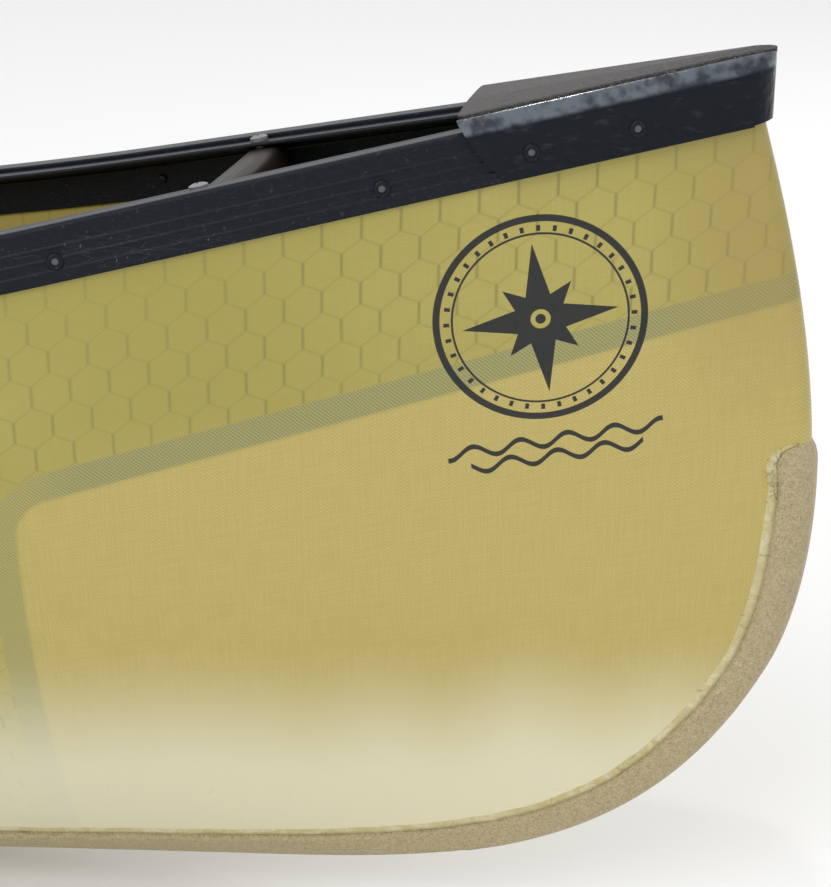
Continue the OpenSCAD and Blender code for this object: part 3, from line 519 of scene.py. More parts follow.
def makeFelt(name, resin):
    s, look = Surface(name), feltLook
    place = s.place()
    mat = s.noise(place, 700.0, 5.0, 0.7, 1.6)
    tuft = s.noise(place, 95.0, 4.0, 0.6, 0.8)
    if resin:
        base = s.mix((0.47, 0.405, 0.185), (0.60, 0.545, 0.34), tuft.ramp(0.4, 0.7))
        normal = s.bump(tuft, 0.0011, 0.45)
        return s.finish(Base_Color=base, Roughness=mat * 0.15 + 0.20, Normal=normal, Coat_Weight=0.5, Coat_Roughness=0.08)
    base = s.mix((0.25, 0.19, 0.09), look["colour"], mat.ramp(0.32, 0.60))
    base = s.mix(base, (0.66, 0.57, 0.37), tuft.ramp(0.52, 0.78) * mat.ramp(0.45, 0.7))
    normal = s.bump(mat, 0.0007, 0.9)
    normal = s.bump(tuft, 0.0024, 0.7, after=normal)
    return s.finish(Base_Color=base, Roughness=mat * 0.25 + 0.48, Normal=normal, Coat_Weight=0.12, Coat_Roughness=0.3)


def makeLaminate(name):
    s = Surface(name)
    u, v, _ = s.parts(s.uv())
    place = s.place()
    k = math.tau / 0.0030
    weave = (u * k).sin() * (v * k).sin() * 0.5 + 0.5
    tow = s.noise(s.vector(u * 30.0, v * 700.0), 1.0, 2.0) * 0.5 + s.noise(s.vector(u * 700.0, v * 30.0), 1.0, 2.0) * 0.5
    wet = s.noise(place, 16.0, 3.0)
    base = s.mix((0.40, 0.32, 0.085), tankLook["colour"], weave * 0.5 + tow * 0.5)
    base = s.mix(base, (0.60, 0.47, 0.18), wet.ramp(0.5, 0.75) * 0.35)
    normal = s.bump(weave * 0.6 + tow * 0.4, 0.0003, 0.7)
    normal = s.bump(wet, 0.002, 0.2, after=normal)
    return s.finish(Base_Color=base, Roughness=wet * 0.25 + 0.28, Normal=normal, Coat_Weight=0.2, Coat_Roughness=0.2)


def makeWood(name, along, look=woodLook):
    s = Surface(name)
    x, y, z = s.parts(s.place())
    if along == "x":
        x, y = y, x
    # growth rings, drawn out along the grain
    wander = (s.noise(s.vector(x * 6.0, y * 1.4, z * 6.0), 1.0, 3.0) - 0.5) * 0.020
    rings = ((x + wander + z * 0.55) * (math.tau / 0.0052)).sin() * 0.5 + 0.5
    fibre = s.noise(s.vector(x * 900.0, y * 26.0, z * 900.0), 1.0, 3.0)
    pore = s.noise(s.vector(x * 1500.0, y * 70.0, z * 1500.0), 1.0, 2.0).ramp(0.64, 0.72)
    tone = s.noise(s.vector(x * 9.0, y * 2.0, z * 9.0), 1.0, 2.0)
    base = s.mix(look["lightColour"], look["darkColour"], (rings ** 2.5) * 0.55 + tone * 0.20)
    base = s.mix(base, look["fibreColour"], fibre.ramp(0.52, 0.75) * 0.35)
    base = s.mix(base, look["poreColour"], pore * (rings * 0.5 + 0.15))
    normal = s.bump(fibre * 0.7 + pore * -0.6, 0.00018, 0.5)
    return s.finish(Base_Color=base, Roughness=fibre * 0.12 + (look["roughness"] - 0.05), Normal=normal,
                    Coat_Weight=look["coat"], Coat_Roughness=0.12, Specular_IOR_Level=look["shine"])


def makeWebbing():
    s, look = Surface("webbing"), webLook
    x, y, z = s.parts(s.place())
    rib = ((x * (math.tau / 0.0022)).sin() * (y * (math.tau / 0.0022)).sin()) * 0.5 + 0.5
    fuzz = s.noise(s.place(), 1300.0, 3.0)
    base = s.mix(look["colour"], (0.085, 0.087, 0.092), rib * 0.35 + fuzz.ramp(0.5, 0.8) * 0.35)
    return s.finish(Base_Color=base, Roughness=fuzz * 0.2 + 0.55, Normal=s.bump(rib * 0.7 + fuzz * 0.3, 0.0003, 0.8))


def makeMetal(name, colour, grain, roughness, turned):
    s = Surface(name)
    place = s.place()
    brushed = s.noise(s.scaled(place, grain), 1.0, 3.0)
    smudge = s.noise(place, 40.0, 3.0)
    base = s.mix(colour, tuple(c * 0.72 for c in colour), brushed.ramp(0.4, 0.7) * 0.5 + smudge.ramp(0.5, 0.8) * 0.3)
    return s.finish(Base_Color=base, Metallic=1.0, Roughness=brushed * 0.16 + smudge * 0.08 + roughness,
                    Normal=s.bump(brushed, 0.00005, turned))


def makePlastic(name, colour, light):
    s = Surface(name)
    place = s.place()
    grain = s.noise(place, 900.0, 3.0)
    wear = s.noise(s.scaled(place, (60.0, 260.0, 260.0)), 1.0, 3.0)
    base = s.mix(colour, light, wear.ramp(0.55, 0.8) * 0.35 + grain.ramp(0.6, 0.8) * 0.1)
    return s.finish(Base_Color=base, Roughness=grain * 0.15 + 0.40, Normal=s.bump(grain, 0.00012, 0.5))


def makeFloor():
    s = Surface("floorPaint")
    haze = s.noise(s.place(), 1.3, 2.0)
    base = s.mix(sceneLook["floorColour"], tuple(c * 0.985 for c in sceneLook["floorColour"]), haze)
    return s.finish(Base_Color=base, Roughness=haze * 0.05 + 0.85, Specular_IOR_Level=0.2)


materials = dict(
    skinOut=makeSkin("aramidOutside", True), skinIn=makeSkin("aramidInside", False),
    gunwale=makeGunwalePaint(), capTop=makeCapVinyl("capTopGrain", True), capSide=makeCapVinyl("capSideSmooth", False),
    felt=makeFelt("feltSoaked", False), resin=makeFelt("resinMargin", True), tank=makeLaminate("tankLaminate"),
    woodAcross=makeWood("ashAcross", "y"), woodAlong=makeWood("ashAlong", "x"),
    woodPaintedShade=makeWood("ashPaintedShade", "y", handleLook), webbing=makeWebbing(),
    steel=makeMetal("fastenerSteel", metalLook["steel"], (900.0, 900.0, 120.0), 0.36, 0.3),
    tube=makeMetal("tubeAnodised", metalLook["tube"], (40.0, 900.0, 900.0), 0.26, 0.4),
    rivetCore=makeMetal("rivetCore", (0.13, 0.13, 0.135), (900.0, 900.0, 900.0), 0.35, 0.4),
    clamp=makePlastic("clampPlastic", metalLook["clamp"], (0.07, 0.07, 0.07)),
    block=makePlastic("blockPlastic", metalLook["block"], (0.62, 0.60, 0.54)))
print("materials made")


# Geometry Nodes helpers
class Graph:
    def __init__(self, name):
        self.tree = bpy.data.node_groups.new(name, "GeometryNodeTree")
        self.tree.interface.new_socket("Geometry", in_out="INPUT", socket_type="NodeSocketGeometry")
        self.tree.interface.new_socket("Geometry", in_out="OUTPUT", socket_type="NodeSocketGeometry")
        self.start = self.tree.nodes.new("NodeGroupInput")
        self.end = self.tree.nodes.new("NodeGroupOutput")
        self.keys = {}

    def ask(self, name, kind, value=None):
        made = self.tree.interface.new_socket(name, in_out="INPUT", socket_type="NodeSocket" + kind)
        self.keys[name] = (made.identifier, value)
        return self.start.outputs[name]

    def node(self, kind, settings=None, **values):
        made = self.tree.nodes.new(kind)
        for key, value in (settings or {}).items():
            setattr(made, key, value)
        for key, value in values.items():
            self.join(made, key.replace("_", " "), value)
        return made

    def join(self, node, key, value):
        slot = node.inputs[key]
        if isinstance(value, bpy.types.NodeSocket):
            self.tree.links.new(value, slot)
        else:
            slot.default_value = value

    def maths(self, operation, a, b=None):
        made = self.node("ShaderNodeMath", {"operation": operation})
        for slot, value in zip(made.inputs, (a, b)):
            if isinstance(value, bpy.types.NodeSocket):
                self.tree.links.new(value, slot)
            elif value is not None:
                slot.default_value = value
        return made.outputs[0]

    # realizes, gives the material and returns the plain mesh made from the carrier object
    def bake(self, name, carrier, geometry, material, smooth=True):
        real = self.node("GeometryNodeRealizeInstances", Geometry=geometry).outputs[0]
        shaded = self.node("GeometryNodeSetMaterial", Geometry=real, Material=self.ask("Material", "Material", material))
        self.tree.links.new(shaded.outputs[0], self.end.inputs[0])
        modifier = carrier.modifiers.new("build", "NODES")
        modifier.node_group = self.tree
        for identifier, value in self.keys.values():
            modifier[identifier] = value
        bpy.context.view_layer.update()
        mesh = bpy.data.meshes.new_from_object(carrier.evaluated_get(bpy.context.evaluated_depsgraph_get()))
        mesh.name = name
        made = bpy.data.objects.new(name, mesh)
        bpy.context.scene.collection.objects.link(made)
        carrier.modifiers.remove(modifier)
        bpy.data.objects.remove(carrier)
        if not mesh.materials:
            mesh.materials.append(material)
        mesh.polygons.foreach_set("use_smooth", np.full(len(mesh.polygons), smooth, bool))
        return made


def pointCarrier(points, edges=(), directions=None):
    mesh = bpy.data.meshes.new("carrier")
    mesh.from_pydata([tuple(map(float, p)) for p in points], list(edges), [])
    if directions is not None:
        layer = mesh.attributes.new("aim", "FLOAT_VECTOR", "POINT")
        layer.data.foreach_set("vector", np.asarray(directions, np.float32).ravel())
    obj = bpy.data.objects.new("carrier", mesh)
    bpy.context.scene.collection.objects.link(obj)
    return obj


# Instances of one small mesh on points, its Z along each point's own direction
def scatter(name, small, points, directions, material):
    graph = Graph(name + "Nodes")
    source = graph.node("GeometryNodeObjectInfo", {"transform_space": "ORIGINAL"},
                        Object=graph.ask("Small part", "Object", small))
    aim = graph.node("GeometryNodeInputNamedAttribute", {"data_type": "FLOAT_VECTOR"}, Name="aim")
    turn = graph.node("FunctionNodeAlignRotationToVector", {"axis": "Z"}, Vector=aim.outputs[0])
    placed = graph.node("GeometryNodeInstanceOnPoints", Points=graph.start.outputs[0],
                        Instance=source.outputs["Geometry"], Rotation=turn.outputs[0])
    made = graph.bake(name, pointCarrier(points, directions=directions), placed.outputs[0], material)
    bpy.data.objects.remove(small)
    return made


# A profile of [outward, up] points swept along a path
def sweep(name, path, profile, material, sharp=0.6):
    outline = pointCarrier([(a, -b, 0) for a, b in profile],
                           [(i, (i + 1) % len(profile)) for i in range(len(profile))])
    graph = Graph(name + "Nodes")
    section = graph.node("GeometryNodeObjectInfo", {"transform_space": "ORIGINAL"},
                         Object=graph.ask("Section", "Object", outline))
    profileCurve = graph.node("GeometryNodeMeshToCurve", Mesh=section.outputs["Geometry"])
    line = graph.node("GeometryNodeMeshToCurve", Mesh=graph.start.outputs[0])
    upright = graph.node("GeometryNodeSetCurveNormal", {"mode": "Z_UP"}, Curve=line.outputs[0])
    tube = graph.node("GeometryNodeCurveToMesh", Curve=upright.outputs[0], Profile_Curve=profileCurve.outputs[0],
                      Fill_Caps=True)
    carrier = pointCarrier(path, [(i, i + 1) for i in range(len(path) - 1)])
    made = graph.bake(name, carrier, tube.outputs[0], material)
    bpy.data.objects.remove(outline)
    settle(made, sharp)
    return made


# Hull: a fine skin, inside and out, from the same formulas as the CAD
def girthRow(count):
    t = np.linspace(0, 1, count + 1)
    return t ** 1.25


def skinGrid(stations, rows, bandRows, inward):
    t = np.linspace(0, 1, stations + 1)
    u = 1 - (1 - t) ** 2.2
    v = girthRow(rows)
    uu, vv = np.meshgrid(u, v, indexing="ij")
    p = skinPoint(uu, vv)
    top = p[:, -1:, :]
    rise = np.linspace(0, 1, bandRows + 1)[1:, None] * form["band"]
    band = np.repeat(top, bandRows, 1)
    band[:, :, 2] += rise[:, 0]
    p = np.concatenate([p, band], 1)
    along = np.gradient(p, axis=0)
    along[0] = (1, 0, 0)
    up = np.gradient(p, axis=1)
    up[:, 0] = (0, 1, 0)
    n = np.cross(up, along)
    n /= np.linalg.norm(n, axis=2)[:, :, None] + 1e-12
    n[:, rows + 1:, 2] = 0
    n[:, 0] = (0, 0, -1)
    n /= np.linalg.norm(n, axis=2)[:, :, None] + 1e-12
    girth = np.concatenate([np.zeros((len(u), 1)), np.cumsum(np.linalg.norm(np.diff(p, axis=1), axis=2), 1)], 1)
    q = p - inward * n
    if inward:
        q[:, :, 1] = np.maximum(q[:, :, 1], 0.0006)
        q[:, 0, 1] = 0
        q[:, rows + 1:, 2] = p[:, rows + 1:, 2]
        q[:, :, 0] = np.minimum(q[:, :, 0], p[:, :, 0])
    return q, n, girth[:, -1:] - girth


def wholeRings(grid, girth):
    rings, uvs = [], []
    count = grid.shape[0] - 1
    for k in range(-count, count + 1):
        half, down = grid[abs(k)].copy(), girth[abs(k)]
        half[:, 0] *= 1 if k >= 0 else -1
        other = half[::-1].copy()
        other[:, 1] *= -1
        rings.append(np.concatenate([other, half[1:]]))
        uvs.append(np.concatenate([np.stack([half[::-1, 0], down[::-1]], 1), np.stack([half[1:, 0], down[1:]], 1)]))
    return np.array(rings), np.array(uvs)


outerGrid, outerNormal, outerGirth = skinGrid(hullLook["stationCount"], hullLook["rowCount"], 3, 0.0)
innerGrid, innerNormal, innerGirth = skinGrid(hullLook["innerStationCount"], hullLook["innerRowCount"], 3, form["skin"])


def makeHull():
    outer, outerUv = wholeRings(outerGrid, outerGirth)
    inner, innerUv = wholeRings(innerGrid, innerGirth)
    a, b = outer.shape[:2], inner.shape[:2]
    verts = np.concatenate([outer.reshape(-1, 3), inner.reshape(-1, 3)])
    uvs = np.concatenate([outerUv.reshape(-1, 2), innerUv.reshape(-1, 2)])
    base = a[0] * a[1]
    faces = gridFaces(a[0], a[1], 0, flip=True) + gridFaces(b[0], b[1], base)
    index = [0] * ((a[0] - 1) * (a[1] - 1)) + [1] * ((b[0] - 1) * (b[1] - 1))
    hull = makeObject("canoe_skin", verts, faces, uvs=uvs, materials=(materials["skinOut"], materials["skinIn"]),
                      materialIndex=index)
    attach(hull, "boat")
    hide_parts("hull")
    return hull


hull = makeHull()
outsideTree = BVHTree.FromPolygons([Vector(p) for p in wholeRings(outerGrid, outerGirth)[0].reshape(-1, 3)],
                                   gridFaces(2 * hullLook["stationCount"] + 1, 2 * (hullLook["rowCount"] + 3) + 1))
insideTree = BVHTree.FromPolygons([Vector(p) for p in wholeRings(innerGrid, innerGirth)[0].reshape(-1, 3)],
                                  gridFaces(2 * hullLook["innerStationCount"] + 1, 2 * (hullLook["innerRowCount"] + 3) + 1))
print("hull made")


# Half width of the skin's outside, with its normal, or of its inside, at x and z
def outsideAt(x, z):
    hit, normal, _, _ = outsideTree.ray_cast(Vector((x, 0.7, z)), Vector((0, -1, 0)))
    if hit is None:
        return None
    return hit.y, (normal if normal.y > 0 else -normal)


def insideAt(x, z, default=0.001):
    hit, _, _, _ = insideTree.ray_cast(Vector((x, 0.0, z)), Vector((0, 1, 0)))
    return default if hit is None else hit.y


# Gunwales
def railPath(side, end):
    t = np.linspace(-1, 1, gunwaleLook["steps"] + 1)
    x = end * np.sign(t) * (1 - (1 - np.abs(t)) ** 1.4)
    y, z = railPoint(x)
    path = np.stack([x, side * y, z], 1)
    return path if side < 0 else path[::-1]


def ridgeAt(share, foot, out):
    h = -foot * share
    return [(out, h + 0.0011), (out + 0.0004, h + 0.0006), (out + 0.0006, h), (out + 0.0004, h - 0.0006), (out, h - 0.0011)]


def makeGunwales():
    m, skin, foot = form["railMetal"], form["skin"], form["band"] - 0.002
    lap, flange = form["lap"], form["flange"]
    corner = [(m - 0.0026 + 0.0026 * math.sin(a), m - 0.0016 + 0.0026 * math.cos(a)) for a in np.linspace(0, halfPi, 6)]
    outwale = ([(0, -foot), (0, 0), (-skin, 0), (-skin, 0.0001), (-skin - lap, 0.0001), (-skin - lap, m - 0.0008),
                (-skin - lap + 0.0008, m)] + corner
               + ridgeAt(0.30, foot, m) + ridgeAt(0.53, foot, m) + ridgeAt(0.76, foot, m)
               + [(m, -foot + 0.0009), (m - 0.0004, -foot + 0.0002), (m - 0.0009, -foot)])
    inwale = [(-skin, 0), (-skin, -foot), (-skin - m + 0.0007, -foot), (-skin - m, -foot + 0.0007),
              (-skin - m, -foot * 0.32), (-skin - m - 0.0008, -foot * 0.28), (-skin - m, -foot * 0.24),
              (-skin - m, -m - 0.001), (-skin - m - 0.0003, -m - 0.0003), (-skin - m - 0.001, -m),
              (-skin - flange + 0.001, -m), (-skin - flange + 0.0003, -m * 0.8), (-skin - flange, -m / 2),
              (-skin - flange + 0.0003, -m * 0.2), (-skin - flange + 0.001, 0)]
    for side, word in ((-1, "starboard"), (1, "port")):
        made = sweep("outwale_" + word + "_extrusion", railPath(side, railEnd - 0.012), outwale, materials["gunwale"])
        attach(made, "boat")
        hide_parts("outwale_" + word)
        made = sweep("inwale_" + word + "_extrusion", railPath(side, railEnd - 0.115), inwale, materials["gunwale"])
        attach(made, "boat")
        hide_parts("inwale_" + word)


makeGunwales()
print("gunwales made")


# Turned parts: a profile of [radius, height] points round Z
def turned(name, profile, steps=24, materials=(), indices=None):
    verts, faces, index = [], [], []
    for r, h in profile:
        for k in range(steps):
            a = math.tau * k / steps
            verts.append((r * math.cos(a), r * math.sin(a), h))
    rows = len(profile)
    for r in range(rows - 1):
        for k in range(steps):
            n = (k + 1) % steps
            faces.append((r * steps + k, r * steps + n, (r + 1) * steps + n, (r + 1) * steps + k))
            index.append(indices[r] if indices else 0)
    faces.append(tuple(range(steps - 1, -1, -1)))
    index.append(0)
    faces.append(tuple((rows - 1) * steps + k for k in range(steps)))
    index.append(indices[-1] if indices else 0)
    made = makeObject(name, verts, faces, materials=materials, materialIndex=index)
    settle(made, 0.9)
    return made


def railSpot(x, drop, side):
    y, z = railPoint(np.array(float(x)))
    ya, _ = railPoint(np.array(float(x) - 0.01))
    yb, _ = railPoint(np.array(float(x) + 0.01))
    out = Vector((-(float(yb) - float(ya)) / 0.02, 1.0, 0.0)).normalized()
    return Vector((x, float(y) * side, float(z) - drop)), Vector((out.x, out.y * side, 0))


def rivetHead(name):
    look = rivetLook
    r, h, c = look["headRadius"], look["headHeight"], look["coreRadius"]
    profile = [(r, 0.0), (r, 0.00035), (r * 0.96, 0.0008), (r * 0.84, h * 0.72), (r * 0.68, h * 0.96), (c * 1.22, h),
               (c * 1.02, h - 0.00018), (c * 0.98, h - 0.0011), (0.0001, h - 0.0012)]
    return turned(name, profile, 32, (materials["gunwale"],))


def rivetCore(name):
    h, c = rivetLook["headHeight"], rivetLook["coreRadius"] * 0.9
    return turned(name, [(c, h - 0.0014), (c * 0.96, h - 0.0009), (c * 0.6, h - 0.0007), (0.0001, h - 0.0006)], 20,
                  (materials["rivetCore"],))


def rivetTail(name):
    r = rivetLook["headRadius"] * 0.62
    return turned(name, [(r, 0), (r, 0.0014), (r * 0.9, 0.0022), (r * 0.55, 0.0028), (0.0001, 0.0029)], 20, (materials["gunwale"],))


def makeRivets():
    look = rivetLook
    span = 2 * (railEnd - look["firstFromEnd"])
    gaps = 2 * int(span / look["pitch"] / 2) + 1
    places = [-span / 2 + n * span / gaps for n in range(gaps + 1)]
    for side, word in ((-1, "starboard"), (1, "port")):
        heads, tails, aims, back = [], [], [], []
        for x in places:
            p, out = railSpot(x, form["band"] * look["dropShare"], side)
            heads.append(p + out * (form["railMetal"] + 0.00005))
            tails.append(p - out * (form["skin"] + form["railMetal"]))
            aims.append(out)
            back.append(-out)
        made = stitch([scatter("heads", rivetHead("head"), heads, aims, materials["gunwale"]),
                       scatter("cores", rivetCore("core"), heads, aims, materials["rivetCore"]),
                       scatter("tails", rivetTail("tail"), tails, back, materials["gunwale"])],
                      "rivets_" + word)
        settle(made, 0.9)
        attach(made, "boat")
        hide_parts("gunwale_rivets_" + word)
    for end, word in ((1, "bow"), (-1, "stern")):
        heads, aims = [], []
        for back in look["capPlaces"]:
            for side in (-1, 1):
                p, out = railSpot((railEnd - back), form["band"] * look["capDropShare"], side)
                p, out = Vector((end * p.x, p.y, p.z)), Vector((end * out.x, out.y, out.z))
                heads.append(p + out * (capLook["stand"] + capLook["wall"] + 0.0001))
                aims.append(out)
        made = stitch([scatter("heads", rivetHead("head"), heads, aims, materials["gunwale"]),
                       scatter("cores", rivetCore("core"), heads, aims, materials["rivetCore"])],
                      word + "_cap_rivet_heads")
        settle(made, 0.9)
        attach(made, "boat")
        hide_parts(word + "_cap_rivets")


makeRivets()
print("rivets made")


# End caps: a formed cover with a grained top, a leaning band, a soft shoulder and upright flanges
def capProfile(half):
    look = capLook
    low = look["low"]
    side = [(0.0, -low), (0.0, -low + 0.0006), (0.0, -low + 0.004), (0.0, -0.016), (0.0, -0.010), (-0.0003, -0.006),
            (-0.0008, -0.0025), (-0.0010, 0.0), (-0.0008, 0.0018), (-0.0002, 0.0032), (0.0008, 0.0045), (0.0016, 0.0060),
            (0.0023, 0.0078), (0.0031, 0.0093), (0.0043, 0.0108), (0.0060, 0.0118), (0.0082, 0.0123)]
    points = [(half - a, z) for a, z in side]
    rest = half - 0.0082
    return points + [(rest * (1 - t), 0.0123 + 0.0010 * t) for t in (0.12, 0.26, 0.42, 0.58, 0.74, 0.88, 1.0)]


def makeCap(end, word):
    look = capLook
    tip = 0.0034
    count = len(capProfile(0.03))
    sideCount = 15
    rows = []
    for n in range(look["lengthSteps"] + 1):
        t = 1 - (1 - n / look["lengthSteps"]) ** 1.9
        row = []
        for k in range(count):
            z = capProfile(0.03)[k][1]
            back = -(look["length"] + look["overhang"]) + max(0.0, 0.0123 - z) * 0.60
            corner = max(0.0, -look["low"] + 0.012 - z)
            back += 0.012 - math.sqrt(max(0.0, 0.012 ** 2 - corner ** 2)) if corner else 0.0
            if k >= sideCount:
                share = (k - sideCount) / (count - 1 - sideCount)
                back += 0.0045 * (1 - math.sqrt(1 - (1 - share) ** 6))
            x = back + (tip - back) * t
            y0, _ = railPoint(np.array(railEnd + min(x, -0.0005)))
            slope = 0.2655
            if x > -0.012:
                y0, _ = railPoint(np.array(railEnd - 0.012))
                y0 = float(y0) - (x + 0.012) * slope
            half = float(y0) + (look["stand"] + look["wall"]) * math.sqrt(1 + slope ** 2)
            fall = min(1.0, max(0.0, (tip - x) / 0.014))
            close = math.sqrt(max(0.0, 1 - (1 - fall) ** 2))
            y, z = capProfile(half)[k]
            z -= 0.0028 * (1 - close) * (1 if z > 0 else 0)
            row.append((x, y * close, z + form["stemHeight"] + x * form["sheerSlope"]))
        port = row
        starboard = [(x, -y, z) for x, y, z in row[:-1]][::-1]
        rows.append([(end * (railEnd + x), y, z) for x, y, z in port + starboard])
    size = len(rows[0])
    faces = gridFaces(len(rows), size, flip=end < 0)
    top = [g for g in range(size - 1)]
    index = [1 if sideCount - 1 <= g < size - sideCount else 0 for _ in range(len(rows) - 1) for g in top]
    cap = makeObject("cap", [p for r in rows for p in r], faces, materials=(materials["capSide"], materials["capTop"]),
                     materialIndex=index)
    settle(cap, 0.9, weld=0.00005)
    thick = cap.modifiers.new("wall", "SOLIDIFY")
    thick.thickness = look["wall"]
    thick.offset = -1
    bpy.context.view_layer.update()
    mesh = bpy.data.meshes.new_from_object(cap.evaluated_get(bpy.context.evaluated_depsgraph_get()))
    made = bpy.data.objects.new(word + "_cap_cover", mesh)
    bpy.context.scene.collection.objects.link(made)
    bpy.data.objects.remove(cap)
    settle(made, 0.9)
    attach(made, "boat")
    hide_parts(word + "_end_cap")


for end, word in ((1, "bow"), (-1, "stern")):
    makeCap(end, word)
print("caps made")


# Skid plates
def stemPath(count):
    share = (feltLook["topHeight"] - form["rocker"]) / (railTip - form["rocker"])
    topRow = math.acos((1 - share) ** (1 / form["stemRise"])) / halfPi
    v = topRow * (1 - np.linspace(0, 1, count)) ** 1.6
    stem = np.stack([stemX(v), stemZ(v)], 1)
    foot = float(stemX(np.array(0.0)))
    back = foot - np.linspace(0, 1, count // 3)[1:] * max(0.02, feltLook["run"] - (railEnd - foot))
    start = form["flatLength"] / form["length"]
    keel = form["rocker"] * np.maximum(0, (back / foot - start) / (1 - start)) ** form["rockerPower"]
    path = np.concatenate([stem, np.stack([back, keel], 1)])
    length = np.concatenate([[0], np.cumsum(np.linalg.norm(np.diff(path, axis=0), axis=1))])
    even = np.linspace(0, length[-1], count * 2)
    return np.stack([np.interp(even, length, path[:, i]) for i in range(2)], 1), even


def makeSkid(end, word):
    look = feltLook
    path, run = stemPath(90)
    tangent = np.gradient(path, axis=0)
    tangent /= np.linalg.norm(tangent, axis=1)[:, None]
    inward = np.stack([tangent[:, 1], -tangent[:, 0]], 1)
    shares = [0, 0.08, 0.2, 0.38, 0.56, 0.72, 0.84, 0.92, 0.97, 1.0]
    rows, spots = [], []
    generator = np.random.default_rng(look["seed"] + (end > 0))
    wobble = np.interp(run, np.linspace(0, run[-1], 60), generator.normal(0, 0.00035, 60))
    for n, (p, inn) in enumerate(zip(path, inward)):
        fromEnd = min(run[n], run[-1] - run[n])
        taper = math.sqrt(min(1.0, fromEnd / 0.010))
        corner = math.sqrt(max(0.0, 1 - (1 - min(1.0, fromEnd / 0.014)) ** 2))
        width = look["width"] * (0.35 + 0.65 * corner) + wobble[n]
        reach = [s * width for s in shares] + [width + 0.0006, width + look["margin"] * 0.5, width + look["margin"]]
        depth = [look["thickness"] * taper * (1 if s < 0.9 else math.sqrt(max(0, 1 - ((s - 0.9) / 0.1) ** 2)))
                 for s in shares] + [0.0005, 0.00045, -0.0002]
        half = []
        for q, d in zip(reach, depth):
            x, z = p[0] + inn[0] * q, p[1] + inn[1] * q
            hit = outsideAt(x, z) if q > 0.0012 else None
            if hit is None:
                half.append((x - inn[0] * d, min(0.0030, q * 1.4), z - inn[1] * d))
            else:
                y, normal = hit
                half.append((x + normal.x * d, y + normal.y * d, z + normal.z * d))
        half[0] = (half[0][0], 0.0, half[0][2])
        rows.append([(end * x, -y, z) for x, y, z in half[:0:-1]] + [(end * x, y, z) for x, y, z in half])
        spots.append(half[9])
    size = len(rows[0])
    faces = gridFaces(len(rows), size, flip=end < 0)
    index = [1 if g < 3 or g >= size - 4 else 0 for _ in range(len(rows) - 1) for g in range(size - 1)]
    plate = makeObject("plate", [p for r in rows for p in r], faces, materials=(materials["felt"], materials["resin"]),
                       materialIndex=index)
    outward = sum((f.normal.x * end for f in plate.data.polygons), 0.0)
    if outward < 0:
        plate.data.flip_normals()
    # stray fibres along the felt's edges
    places, aims = [], []
    for _ in range(look["fibreCount"]):
        n = int(generator.integers(2, len(spots) - 2)) if generator.random() > 0.25 else int(generator.integers(1, 9))
        x, y, z = spots[n]
        side = 1 if generator.random() < 0.5 else -1
        jitter = generator.normal(0, 0.0016, 2)
        places.append((end * (x + jitter[0] * 0.6), side * (y + 0.0003), z + jitter[1]))
        along = np.array([inward[n][0], 0.0, inward[n][1]]) + generator.normal(0, 0.8, 3) * np.array([1, 0.12, 1])
        aims.append((end * along[0], side * (abs(along[1]) * 0.6 + 0.10), along[2]))
    t, a = look["fibreThickness"], look["fibreLength"]
    line = [(0, 0, 0), (0.0004, 0, a * 0.3), (0.0013, 0.0002, a * 0.62), (0.0027, 0.0004, a * 0.92)]
    hair = loft("hair", [[(x + t * math.cos(b), y + t * math.sin(b), z) for b in (0, 2.09, 4.19)] for x, y, z in line],
                (materials["felt"],))
    fibres = scatter("fibres", hair, places, aims, materials["felt"])
    made = stitch([plate, fibres], word + "_skid_felt")
    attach(made, "boat")
    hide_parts(word + "_skid_plate")


for end, word in ((1, "bow"), (-1, "stern")):
    makeSkid(end, word)
print("skid plates made")


# Float tanks: a top and a bulkhead in one sheet, taped to the skin
def tankPath():
    look = tankLook
    back, r, tilt = railEnd - look["length"], look["cornerRadius"], math.atan(look["slope"])

    def line(x):
        return look["lineAtStem"] + (x - railEnd) * look["slope"]

    cx = back + r
    cz = line(cx) - r / math.cos(tilt)
    points = [(x, line(x)) for x in np.linspace(railEnd + 0.016, cx + 0.01, 46)]
    points += [(cx + r * math.cos(a), cz + r * math.sin(a)) for a in np.linspace(halfPi + tilt, math.pi, 12)]
    points += [(back, z) for z in np.linspace(cz - 0.01, 0.016, 30)]
    return np.array(points)


